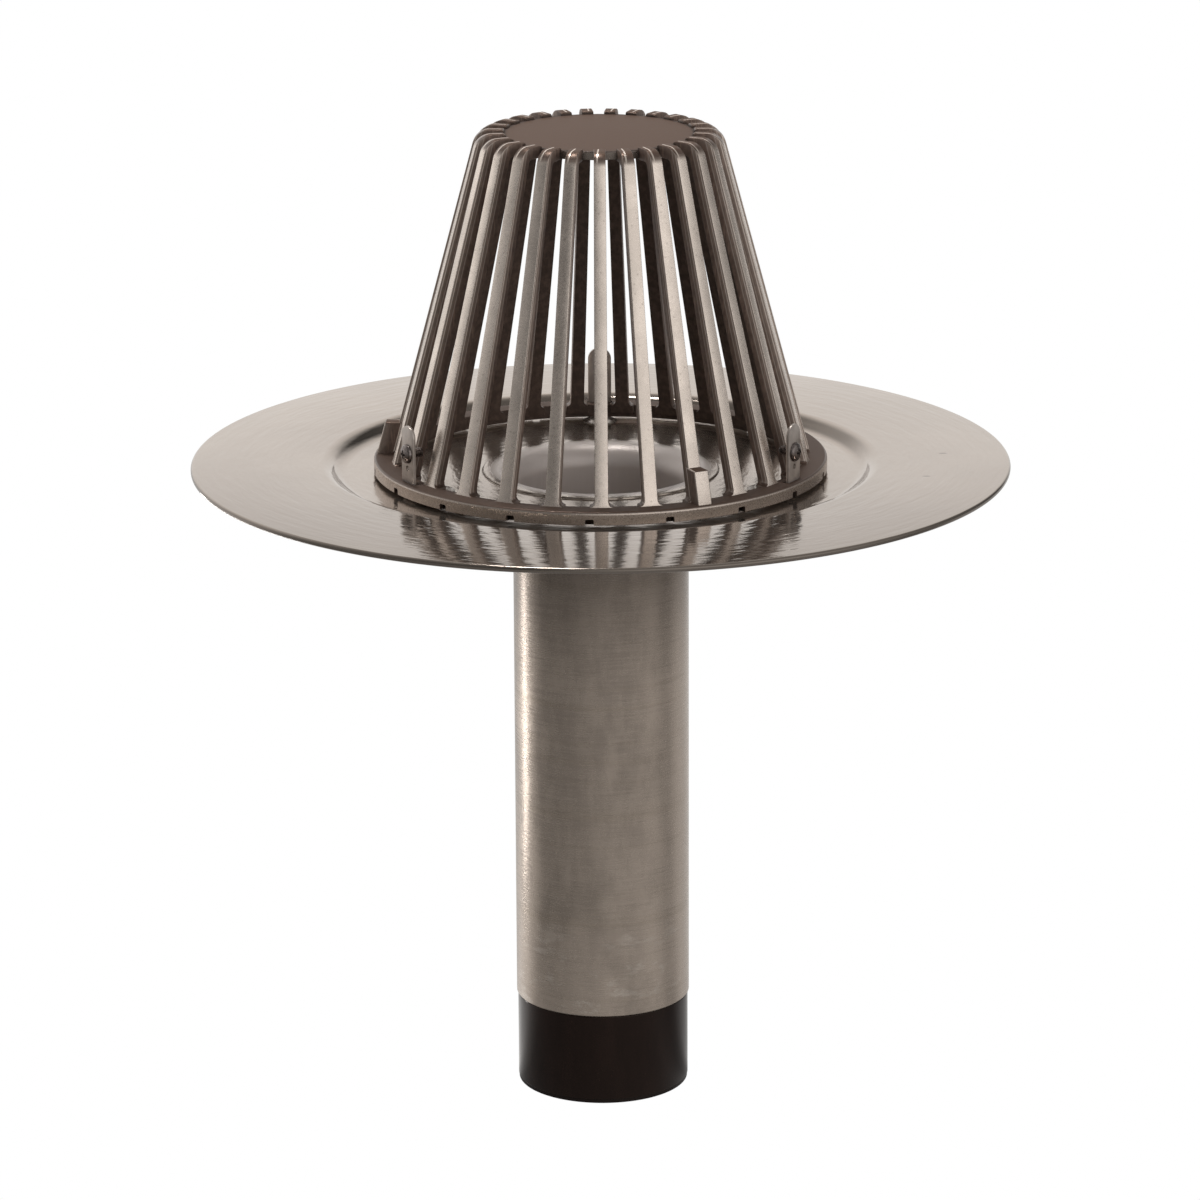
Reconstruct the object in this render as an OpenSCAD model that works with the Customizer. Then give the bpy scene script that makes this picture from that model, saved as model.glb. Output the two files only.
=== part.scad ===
// Flat roof drain for an existing roof: a one-piece spun body, a cast strainer dome
// and a compression seal that grips the inside of the old leader pipe.
// Units are millimetres. The seal end stands on the plane z = 0 and +Z points up.
// Azimuths are measured round +Z from the front (-Y), positive towards +X.

/* [Deck flange] */
// Outside diameter of the flange
flange_d = 444.5; // [400:0.5:520]
// Thickness of the spun sheet in the flange and the sump
sheet_t = 3.2; // [2:0.1:5]

/* [Sump] */
// Width of the flat sump floor outside the strainer ring
floor_room = 15; // [10:0.5:30]
// Depth of the sump floor below the flange
sump_depth = 6.2; // [2:0.1:12]
// Radius of the two bends between flange and floor
sump_bend_r = 9.5; // [7:0.5:16]
// Width of the raised lip round the throat
throat_lip_w = 6.5; // [4:0.1:12]
// Height of the lip above the sump floor
throat_lip_h = 1.2; // [0.6:0.1:2]
// Radius that rolls the lip over into the stem
throat_r = 12; // [8:0.5:14]

/* [Stem] */
// Outside diameter of the stem
stem_d = 95.8; // [93:0.1:102]
// Wall of the stem
stem_wall = 2.4; // [1.5:0.1:3.5]
// Length of the stem below the top of the flange
stem_l = 304.8; // [120:0.1:400]

/* [Strainer dome] */
// Height from the ring's underside to the top disc
dome_h = 184.5; // [140:0.5:220]
// Diameter over the ribs where they meet the ring
rib_circle_d = 227.6; // [200:0.1:250]
// Lean of the ribs from the vertical, in degrees
rib_lean = 15; // [10:0.5:17]
// Number of ribs
rib_n = 27; // [21, 27]
// Width of a rib at the ring
rib_w_foot = 7.2; // [5:0.1:8]
// Width of a rib at the top
rib_w_top = 6.2; // [4:0.1:7]
// Depth of a rib, square to its outer face
rib_depth = 6.5; // [5:0.1:8]
// Outer radius of a rib's shoulder
shoulder_r = 9.5; // [7:0.5:14]
// Radius of the fillet at a rib's foot
rib_fillet_r = 3; // [1:0.5:4]
// Length of a rib's level top between its shoulder and the top disc
rib_land = 6.4; // [4:0.1:12]
// Thickness of the top disc
disc_t = 4.5; // [3:0.1:6]
// Height of the rib ends above the top disc
nub_h = 1.5; // [0.8:0.1:2.5]

/* [Strainer ring] */
// Reach of the ring outside the ribs' outer faces
ring_out = 9.2; // [8.8:0.1:12]
// Reach of the ring inside the ribs' outer faces
ring_in = 2.8; // [1.5:0.1:4]
// Height of the ring
ring_h = 7.3; // [6:0.1:9]
// Radius along the ring's outer top edge
ring_edge_r = 1.8; // [0.5:0.1:3]
// Number of weep notches under the ring
notch_n = 18; // [12:3:24]
// Width of a weep notch
notch_w = 4.6; // [3:0.1:6]
// Height of a weep notch
notch_h = 3.3; // [2:0.1:4]
// Depth of a weep notch into the ring
notch_depth = 3; // [1.5:0.1:3.2]
// Azimuth of the first weep notch, in degrees
notch_az = -3; // [-8:1:8]
// Width of a casting lug
lug_w = 8.3; // [5:0.1:10]
// Height of a casting lug above the ring
lug_h = 17.3; // [8:0.1:24]
// Reach of a casting lug outside the ribs
lug_reach = 7.7; // [4:0.1:8]

/* [Brackets] */
// Width of a bracket strip
bracket_w = 13; // [11:0.5:14]
// Thickness of a bracket strip
bracket_t = 1.75; // [1:0.05:2.5]
// Height of a bracket above the sump floor
bracket_h = 40; // [34:1:50]
// Width of the strainer ring left outside a bracket
bracket_rim = 4; // [3:0.1:5]
// Inner radius of a bracket's bend
bracket_bend_r = 1.5; // [0.8:0.1:2]
// Drop of the retaining screw below the bracket's top
retainer_drop = 15.2; // [10:0.1:18]
// Drop of the small hole below the retaining screw
small_hole_drop = 7.9; // [6:0.1:10]
// Diameter of the small hole
small_hole_d = 3; // [2:0.1:4]
// Room between the strainer ring and a bracket
slot_clear = 0.45; // [0.3:0.05:0.6]

/* [Fasteners] */
// Room between a rivet's head and the strainer ring
rivet_room = 0.5; // [0.3:0.1:4]
// Diameter of a rivet's head
rivet_head_d = 19; // [15:0.1:19.4]
// Height of a rivet's head
rivet_head_h = 1.8; // [1.2:0.1:2.4]
// Diameter of a rivet's shank
rivet_d = 6.4; // [4:0.1:7]
// Diameter of a rivet's tail under the sump
rivet_tail_d = 10; // [8:0.1:12]
// Height of a rivet's tail
rivet_tail_h = 3; // [2:0.1:4]
// Thread diameter of a retaining screw
retainer_d = 5; // [4:0.1:6]
// Head diameter of a retaining screw
retainer_head_d = 10.5; // [9:0.1:12]
// Head height of a retaining screw
retainer_head_h = 2.8; // [2:0.1:3.5]
// Reach of a retaining screw inside its bracket
retainer_reach = 7; // [4:0.1:9]
// Room round a screw in its clearance hole
screw_clear = 0.3; // [0.2:0.05:0.5]

/* [Compression seal] */
// Height of the seal, from the stem's end to the bottom
seal_h = 50.8; // [40:0.1:70]
// Step from the stem in to the rubber sleeve
sleeve_step = 0.7; // [0.4:0.1:2]
// Wall of the sleeve's skirt round the hub
skirt_wall = 2.4; // [1.5:0.1:4]
// Step from the stem in to the lower ring's rim
lower_rim_step = 1; // [0.8:0.1:2.5]
// Height of the lower ring's rim
lower_rim_h = 2.2; // [1.5:0.1:4]
// Wall of the lower ring's hub
hub_wall = 10; // [9.5:0.1:12]
// Height of the lower ring's hub above its rim
hub_h = 7; // [5:0.1:10]
// Height of the upper ring
upper_ring_h = 6; // [4:0.1:9]
// Thread diameter of a seal screw
seal_screw_d = 5; // [4:0.1:5]
// Head diameter of a seal screw
seal_head_d = 8.5; // [7:0.1:8.6]
// Head height of a seal screw
seal_head_h = 5; // [4:0.1:6]
// Outside diameter of a threaded insert
insert_d = 7; // [6.6:0.1:7.4]
// Room between a hub and the sleeve round it
hub_clear = 0.3; // [0.2:0.05:0.5]
// Running room between a seal screw and its insert
thread_clear = 0.05; // [0.02:0.01:0.1]
// Azimuth of the first seal screw, in degrees
seal_screw_az = 30; // [0:5:115]

/* [Hidden] */
$fn = 96;
eps = 0.01;
bracket_n = 3;
seal_screw_n = 3;

rib_foot_r = rib_circle_d / 2;
ring_r = rib_foot_r + ring_out;
ring_bore_r = rib_foot_r - ring_in;

flange_r = flange_d / 2;
deck_z = seal_h + stem_l;
floor_z = deck_z - sump_depth;
floor_r = ring_r + floor_room;
sump_bend_a = acos(1 - sump_depth / (2 * sump_bend_r));
mouth_r = floor_r + 2 * sump_bend_r * sin(sump_bend_a);
// How far, in degrees, each bend runs past the fold where they meet
bend_lap_a = 0.05;

stem_r = stem_d / 2;
stem_bore_r = stem_r - stem_wall;
lip_r = stem_bore_r + throat_r + throat_lip_w;
lip_z = floor_z + throat_lip_h;
under_r = throat_r - sheet_t;
under_z = floor_z - sheet_t - under_r;
crease_r = 0.8;
stem_chamfer = 0.7;

ring_z = floor_z + bracket_t;
ring_top_z = ring_z + ring_h;
disc_z = ring_z + dome_h;
rib_top_z = disc_z + nub_h;
shoulder_z = rib_top_z - shoulder_r;
disc_r = rib_face_r(shoulder_z) - shoulder_r / cos(rib_lean) - rib_land;
rib_inner_foot_r = rib_foot_r - rib_depth / cos(rib_lean);
rib_pitch_a = 360 / rib_n;
// How far a rib runs into the disc, and how far its foot's fillet sinks into the ring
rib_bite = 3;
foot_sink = 0.1;
// The lugs stand on the first rib past each third of the turn's start, clear of the brackets
lug_rib = 2;
bracket_az = 60;

bracket_face_r = ring_r - bracket_rim;
bracket_inner_r = bracket_face_r - bracket_t;
foot_end_r = bracket_inner_r - bracket_bend_r;
retainer_z = floor_z + bracket_h - retainer_drop;
small_hole_z = retainer_z - small_hole_drop;
rivet_circle_r = ring_bore_r - rivet_room - rivet_head_d / 2;

sleeve_r = stem_r - sleeve_step;
lower_rim_r = stem_r - lower_rim_step;
hub_r = sleeve_r - skirt_wall - hub_clear;
seal_bore_r = hub_r - hub_wall;
seal_screw_r = hub_r - hub_wall / 2;
hub_z = lower_rim_h + hub_h;
upper_ring_z = seal_h + upper_ring_h;
insert_h = hub_h + lower_rim_h / 2;
screw_tip_z = lower_rim_h / 2;
sleeve_edge_r = 0.8;
socket_af = 4;
socket_depth = 2.6;

// Outer radius of the ribs at a height, before their shoulder
function rib_face_r(z) = rib_foot_r - (z - ring_top_z) * tan(rib_lean);

// Turns a shape built along +X to an azimuth
module at_azimuth(a) {
    rotate([0, 0, a - 90]) children();
}

// Stands a section drawn as [radius, height] upright and gives it a width
module radial_plate(width) {
    rotate([90, 0, 0]) linear_extrude(width, center = true) children();
}

// Slice of a ring in a section, from one angle to another less than 90 degrees on
module bend_section(r_in, r_out, from_a, to_a) {
    reach = 2 * r_out;
    intersection() {
        difference() {
            circle(r_out);
            circle(r_in);
        }
        polygon([
            [0, 0],
            [reach * cos(from_a), reach * sin(from_a)],
            [reach * cos(to_a), reach * sin(to_a)]
        ]);
    }
}

// ---- drain body -------------------------------------------------------------

module flange_section() {
    edge_r = sheet_t / 2;
    translate([mouth_r, deck_z - sheet_t]) square([flange_r - edge_r - mouth_r, sheet_t]);
    translate([flange_r - edge_r, deck_z - edge_r]) circle(edge_r);
}

module sump_wall_section() {
    translate([mouth_r, deck_z - sump_bend_r])
        bend_section(sump_bend_r - sheet_t, sump_bend_r, 90, 90 + sump_bend_a + bend_lap_a);
    translate([floor_r, floor_z + sump_bend_r])
        bend_section(sump_bend_r, sump_bend_r + sheet_t, -90, sump_bend_a - 90 + bend_lap_a);
}

module floor_section() {
    lip_flat_r = lip_r - throat_lip_h;
    difference() {
        union() {
            translate([lip_flat_r, floor_z - sheet_t]) square([floor_r - lip_flat_r, sheet_t]);
            translate([lip_flat_r, floor_z]) circle(throat_lip_h);
        }
        translate([lip_r + crease_r, floor_z + crease_r / 2]) circle(crease_r);
    }
}

module throat_section() {
    lip_flat_r = lip_r - throat_lip_h;
    difference() {
        translate([stem_bore_r, under_z]) square([lip_flat_r - stem_bore_r, lip_z - under_z]);
        difference() {
            translate([stem_bore_r - eps, lip_z - throat_r])
                square([throat_r + eps, throat_r + eps]);
            translate([stem_bore_r + throat_r, lip_z - throat_r]) circle(throat_r);
        }
        translate([stem_r + under_r, under_z]) circle(under_r);
        translate([stem_r + under_r, under_z - eps]) square([lip_r, under_r + eps]);
    }
}

module stem_section() {
    polygon([
        [stem_bore_r, seal_h],
        [stem_r - stem_chamfer, seal_h],
        [stem_r, seal_h + stem_chamfer],
        [stem_r, under_z],
        [stem_bore_r, under_z]
    ]);
}

module drain_body() {
    color("#b9b2a8") difference() {
        rotate_extrude() {
            flange_section();
            sump_wall_section();
            floor_section();
            throat_section();
            stem_section();
        }
        for (i = [0 : bracket_n - 1]) at_azimuth(bracket_az + i * 360 / bracket_n)
            translate([rivet_circle_r, 0, floor_z - sheet_t - 1]) cylinder(d = rivet_d, h = sheet_t + 2);
    }
}

// ---- strainer dome ----------------------------------------------------------

// Filled side outline of the cage, drawn a distance inside its outer face
module cage_outline(inset) {
    round_r = max(shoulder_r - inset, 1.5);
    top_z = rib_top_z - inset;
    centre_z = top_z - round_r;
    centre_r = rib_face_r(centre_z) - (inset + round_r) / cos(rib_lean);
    foot_r = rib_face_r(ring_z) - inset / cos(rib_lean);
    polygon([
        [0, ring_z],
        [foot_r, ring_z],
        [centre_r + round_r * cos(rib_lean), centre_z + round_r * sin(rib_lean)],
        [centre_r, centre_z],
        [centre_r, top_z],
        [0, top_z]
    ]);
    translate([centre_r, centre_z]) circle(round_r);
}

module rib_side() {
    foot_cut = max(ring_bore_r - rib_inner_foot_r, 0.1);
    difference() {
        cage_outline(0);
        cage_outline(rib_depth);
        square([disc_r - rib_bite, rib_top_z + 1]);
        translate([0, disc_z]) square([disc_r, 2 * nub_h]);
        polygon([
            [0, 0],
            [ring_bore_r, 0],
            [ring_bore_r, ring_top_z - foot_cut],
            [ring_bore_r - foot_cut, ring_top_z],
            [0, ring_top_z]
        ]);
        square([ring_r, ring_z + ring_h / 4]);
    }
    translate([disc_r, disc_z]) circle(nub_h);
}

// Half of a rib seen from the front: tapered, with a flared foot
module rib_half() {
    fillet_x = rib_w_foot / 2 + rib_fillet_r;
    fillet_z = ring_top_z + rib_fillet_r - foot_sink;
    polygon([
        [0, ring_z],
        [fillet_x, ring_z],
        for (a = [260 : -20 : 180]) [fillet_x + rib_fillet_r * cos(a), fillet_z + rib_fillet_r * sin(a)],
        [rib_w_top / 2, rib_top_z + 1],
        [0, rib_top_z + 1]
    ]);
}

module rib_front() {
    rib_half();
    mirror([1, 0]) rib_half();
}

module rib() {
    intersection() {
        radial_plate(rib_w_foot + 2 * rib_fillet_r) rib_side();
        rotate([90, 0, 90]) linear_extrude(ring_r) rib_front();
    }
}

module strainer_ring() {
    rotate_extrude() {
        translate([ring_bore_r, ring_z]) square([ring_r - ring_bore_r, ring_h - ring_edge_r]);
        translate([ring_bore_r, ring_z]) square([ring_r - ring_edge_r - ring_bore_r, ring_h]);
        translate([ring_r - ring_edge_r, ring_top_z - ring_edge_r]) circle(ring_edge_r);
    }
}

module casting_lug() {
    top_z = ring_top_z + lug_h;
    radial_plate(lug_w) polygon([
        [rib_foot_r - rib_depth / 2, ring_top_z - 1],
        [rib_foot_r + lug_reach, ring_top_z - 1],
        [rib_foot_r + lug_reach, ring_top_z],
        [rib_face_r(top_z) + lug_reach, top_z],
        [rib_face_r(top_z) - rib_depth / 2, top_z]
    ]);
}

module bracket_slot() {
    slot_in_r = foot_end_r - slot_clear;
    slot_out_r = bracket_face_r + slot_clear;
    slot_w = bracket_w + 2 * slot_clear;
    translate([slot_in_r, -slot_w / 2, ring_z - 1]) cube([slot_out_r - slot_in_r, slot_w, ring_h + 2]);
}

module weep_notch() {
    translate([ring_r - notch_depth, -notch_w / 2, ring_z - 1]) cube([notch_depth + 1, notch_w, notch_h + 1]);
}

module strainer_dome() {
    color("#85776b") difference() {
        union() {
            strainer_ring();
            translate([0, 0, disc_z - disc_t]) cylinder(r = disc_r, h = disc_t);
            for (i = [0 : rib_n - 1]) at_azimuth(i * rib_pitch_a) rib();
            for (i = [0 : bracket_n - 1]) at_azimuth((lug_rib + i * rib_n / bracket_n) * rib_pitch_a)
                casting_lug();
        }
        for (i = [0 : bracket_n - 1]) at_azimuth(bracket_az + i * 360 / bracket_n) bracket_slot();
        for (i = [0 : notch_n - 1]) at_azimuth(notch_az + i * 360 / notch_n) weep_notch();
    }
}

// ---- brackets and their fasteners ---------------------------------------------

// Flat strip along +X with a round end at x = 0
module round_end_strip(length) {
    circle(bracket_w / 2);
    translate([0, -bracket_w / 2]) square([length, bracket_w]);
}

module bracket_foot() {
    translate([rivet_circle_r, 0, floor_z]) linear_extrude(bracket_t) difference() {
        round_end_strip(foot_end_r - rivet_circle_r);
        circle(d = rivet_d);
    }
}

module bracket_upright() {
    end_z = floor_z + bracket_h - bracket_w / 2;
    bend_top_z = floor_z + bracket_t + bracket_bend_r;
    translate([bracket_inner_r, 0, end_z]) rotate([0, 90, 0]) linear_extrude(bracket_t) difference() {
        round_end_strip(end_z - bend_top_z);
        translate([end_z - retainer_z, 0]) circle(d = retainer_d + 2 * thread_clear);
        translate([end_z - small_hole_z, 0]) circle(d = small_hole_d);
    }
}

module bracket() {
    color("#c4beb4") {
        bracket_foot();
        translate([foot_end_r, 0, floor_z + bracket_t + bracket_bend_r])
            radial_plate(bracket_w) difference() {
                bend_section(bracket_bend_r, bracket_bend_r + bracket_t, -90, -45);
                circle(bracket_bend_r);
            }
        translate([foot_end_r, 0, floor_z + bracket_t + bracket_bend_r])
            radial_plate(bracket_w) bend_section(bracket_bend_r, bracket_bend_r + bracket_t, -45, 0);
        bracket_upright();
    }
}

// Domed head standing on z = 0
module domed_head(d, h) {
    dome_r = (h * h + d * d / 4) / (2 * h);
    rotate_extrude() intersection() {
        translate([0, h - dome_r]) circle(dome_r);
        square([d, h]);
    }
}

module bracket_rivet() {
    mandrel_d = rivet_d / 2;
    tail_chamfer = rivet_tail_h / 3;
    grip = sheet_t + bracket_t;
    color("#aaa49b") translate([rivet_circle_r, 0, floor_z + bracket_t]) difference() {
        union() {
            domed_head(rivet_head_d, rivet_head_h);
            translate([0, 0, -grip]) cylinder(d = rivet_d, h = grip);
            translate([0, 0, -grip - rivet_tail_h]) rotate_extrude() polygon([
                [0, 0],
                [rivet_tail_d / 2 - tail_chamfer, 0],
                [rivet_tail_d / 2, tail_chamfer],
                [rivet_tail_d / 2, rivet_tail_h],
                [0, rivet_tail_h]
            ]);
        }
        translate([0, 0, rivet_head_h / 3]) cylinder(d = mandrel_d, h = rivet_head_h);
    }
}

module retaining_screw() {
    recess_w = retainer_head_d / 9;
    recess_l = retainer_head_d / 2.2;
    recess_depth = retainer_head_h / 2;
    shank_l = bracket_t + retainer_reach;
    tip = retainer_d / 4;
    color("#4b4540") translate([bracket_face_r, 0, retainer_z]) rotate([0, 90, 0]) difference() {
        union() {
            domed_head(retainer_head_d, retainer_head_h);
            translate([0, 0, tip - shank_l]) cylinder(d = retainer_d, h = shank_l - tip);
            translate([0, 0, -shank_l]) cylinder(d1 = retainer_d - 2 * tip, d2 = retainer_d, h = tip);
        }
        for (a = [0, 90]) rotate([0, 0, a])
            translate([-recess_l / 2, -recess_w / 2, retainer_head_h - recess_depth])
                cube([recess_l, recess_w, retainer_head_h]);
    }
}

// ---- compression seal -----------------------------------------------------------

// Holes for the seal screws through a ring, from one height to another
module seal_screw_holes(d, from_z, to_z) {
    for (i = [0 : seal_screw_n - 1]) at_azimuth(seal_screw_az + i * 360 / seal_screw_n)
        translate([seal_screw_r, 0, from_z]) cylinder(d = d, h = to_z - from_z);
}

module seal_upper_ring() {
    color("#3a3633") difference() {
        translate([0, 0, seal_h]) cylinder(r = stem_bore_r, h = upper_ring_h);
        translate([0, 0, seal_h - 1]) cylinder(r = seal_bore_r, h = upper_ring_h + 2);
        seal_screw_holes(seal_screw_d + 2 * screw_clear, seal_h - 1, upper_ring_z + 1);
    }
}

module seal_sleeve() {
    rebate_r = hub_r + hub_clear;
    color("#171311") difference() {
        rotate_extrude() {
            translate([seal_bore_r, hub_z]) square([sleeve_r - seal_bore_r, seal_h - hub_z - sleeve_edge_r]);
            translate([seal_bore_r, hub_z]) square([sleeve_r - sleeve_edge_r - seal_bore_r, seal_h - hub_z]);
            translate([sleeve_r - sleeve_edge_r, seal_h - sleeve_edge_r]) circle(sleeve_edge_r);
            translate([rebate_r, lower_rim_h]) square([sleeve_r - rebate_r, hub_z - lower_rim_h]);
        }
        seal_screw_holes(seal_screw_d + 2 * screw_clear, hub_z - 1, seal_h + 1);
    }
}

module seal_lower_ring() {
    rim_chamfer = lower_rim_h / 4;
    color("#231e1b") difference() {
        rotate_extrude() polygon([
            [seal_bore_r, 0],
            [lower_rim_r - rim_chamfer, 0],
            [lower_rim_r, rim_chamfer],
            [lower_rim_r, lower_rim_h],
            [hub_r, lower_rim_h],
            [hub_r, hub_z],
            [seal_bore_r, hub_z]
        ]);
        seal_screw_holes(seal_screw_d + 2 * screw_clear, -1, hub_z + 1);
        seal_screw_holes(insert_d, hub_z - insert_h, hub_z + 1);
    }
}

module seal_insert() {
    color("#b08d4f") translate([seal_screw_r, 0, hub_z - insert_h]) difference() {
        cylinder(d = insert_d, h = insert_h);
        translate([0, 0, -1]) cylinder(d = seal_screw_d + 2 * thread_clear, h = insert_h + 2);
    }
}

module seal_screw() {
    color("#8d8a86") translate([seal_screw_r, 0, 0]) difference() {
        union() {
            translate([0, 0, screw_tip_z]) cylinder(d = seal_screw_d, h = upper_ring_z - screw_tip_z);
            translate([0, 0, upper_ring_z]) cylinder(d = seal_head_d, h = seal_head_h);
        }
        translate([0, 0, upper_ring_z + seal_head_h - socket_depth])
            cylinder(d = socket_af / cos(30), h = socket_depth + 1, $fn = 6);
    }
}

module on_bracket(i) {
    at_azimuth(bracket_az + i * 360 / bracket_n) children();
}

module on_seal_screw(i) {
    at_azimuth(seal_screw_az + i * 360 / seal_screw_n) children();
}

drain_body();
strainer_dome();
on_bracket(0) bracket();  // bracket_1
on_bracket(1) bracket();  // bracket_2
on_bracket(2) bracket();  // bracket_3
on_bracket(0) bracket_rivet();  // bracket_rivet_1
on_bracket(1) bracket_rivet();  // bracket_rivet_2
on_bracket(2) bracket_rivet();  // bracket_rivet_3
on_bracket(0) retaining_screw();  // retaining_screw_1
on_bracket(1) retaining_screw();  // retaining_screw_2
on_bracket(2) retaining_screw();  // retaining_screw_3
seal_upper_ring();
seal_sleeve();
seal_lower_ring();
on_seal_screw(0) seal_insert();  // seal_insert_1
on_seal_screw(1) seal_insert();  // seal_insert_2
on_seal_screw(2) seal_insert();  // seal_insert_3
on_seal_screw(0) seal_screw();  // seal_screw_1
on_seal_screw(1) seal_screw();  // seal_screw_2
on_seal_screw(2) seal_screw();  // seal_screw_3
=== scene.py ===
import math

import bmesh
import bpy
from mathutils import Matrix, Vector


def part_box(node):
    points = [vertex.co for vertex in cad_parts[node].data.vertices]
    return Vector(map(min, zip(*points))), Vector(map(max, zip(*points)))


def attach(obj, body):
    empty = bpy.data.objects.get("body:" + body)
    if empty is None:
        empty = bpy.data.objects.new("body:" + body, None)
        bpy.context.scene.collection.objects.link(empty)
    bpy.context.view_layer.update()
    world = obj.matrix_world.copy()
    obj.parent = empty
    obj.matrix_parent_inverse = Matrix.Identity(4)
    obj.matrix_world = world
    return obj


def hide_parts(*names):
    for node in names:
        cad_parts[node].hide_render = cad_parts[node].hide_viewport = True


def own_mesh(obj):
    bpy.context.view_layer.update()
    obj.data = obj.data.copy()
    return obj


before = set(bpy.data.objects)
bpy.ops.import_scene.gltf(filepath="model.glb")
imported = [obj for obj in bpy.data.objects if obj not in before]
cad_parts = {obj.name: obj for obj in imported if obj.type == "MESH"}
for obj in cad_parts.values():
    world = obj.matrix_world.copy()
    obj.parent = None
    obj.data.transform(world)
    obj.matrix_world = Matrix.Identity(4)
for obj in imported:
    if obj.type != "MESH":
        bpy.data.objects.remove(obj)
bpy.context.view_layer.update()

bl_info = {
    "name": "Flat roof drain",
    "version": (1, 0, 0),
    "blender": (4, 2, 0),
    "location": "3D View > Sidebar > Roof drain",
    "description": "Dresses the solids of a flat roof drain with rounded, weathered pieces",
    "category": "Add Mesh",
}

MM = 0.001
BODY_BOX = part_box("drain_body")
DOME_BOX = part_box("strainer_dome")
BRACKET_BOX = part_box("bracket_2")
RIVET_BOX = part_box("bracket_rivet_2")
SLEEVE_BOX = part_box("seal_sleeve")
RIM_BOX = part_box("seal_lower_ring")
UPPER_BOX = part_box("seal_upper_ring")
SEAL_SCREW_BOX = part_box("seal_screw_1")

# Steps round a full turn
ROUND_STEPS = 288
SEAL_STEPS = 256
DISC_STEPS = 144
SMALL_STEPS = 64
THREAD_STEPS = 32
# A bend gets a step for so many degrees and for so much length, whichever gives more
BEND_STEP_DEG = 9
BEND_STEP = 0.0009
# Places this near to each other are the same
TINY = 1e-6
WELD = 2e-6
# Edges turned more than this are corners, in radians for bevels and in degrees for shading
CORNER_ANGLE = 1.2
SHARP_DEG = 32
# Shares of a full rounding that leave room for the neighbouring one
BEND_SHARE = 0.97
UNDER_BEND_SHARE = 0.74
ROUND_END_SHARE = 0.985
# Share of the ring's height that a rib's foot reaches into it
RIB_SINK = 0.6
# Azimuths in degrees from the front, positive to the right
BRACKET_AZ = 60
BRACKET_COUNT = 3
SEAL_SCREW_AZ = 30
SEAL_SCREW_COUNT = 3
LUG_RIB = 2
LUG_COUNT = 3
# Length of a retaining screw behind its bracket
SCREW_END = 7 * MM
ALONG_X = Matrix.Rotation(math.pi / 2, 4, "Y")
LEVEL = (1, 1, 0)
# Linear colours of wear and dirt, of painted shade and light, of the lamps and of the ceiling
PALE_SCUFF = (0.62, 0.56, 0.50)
WARM_BAND = (0.30, 0.245, 0.185)
FLANGE_SHADOW = (0.050, 0.038, 0.032)
DEEP_FLANGE_SHADOW = (0.025, 0.018, 0.015)
DULL_RING = (0.40, 0.35, 0.31)
THROAT_LIT_GREY = (0.66, 0.60, 0.57)
NICK = (0.10, 0.08, 0.065)
LAMP_COLOUR = (1, 0.98, 0.96)
CEILING = (0.36, 0.35, 0.34)
FLOOR_HALF = 14.0


def length(name, description, millimetres):
    """A size that a user can change, kept in metres."""
    return bpy.props.FloatProperty(
        name=name, description=description, default=millimetres * MM, min=0.0, unit="LENGTH",
        subtype="DISTANCE", precision=4,
    )


def angle(name, description, degrees):
    return bpy.props.FloatProperty(
        name=name, description=description, default=math.radians(degrees), unit="ROTATION", subtype="ANGLE"
    )


def colour(name, description, value):
    """A linear colour that a user can change."""
    return bpy.props.FloatVectorProperty(
        name=name, description=description, default=value, min=0.0, max=1.0, size=3, subtype="COLOR"
    )


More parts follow.
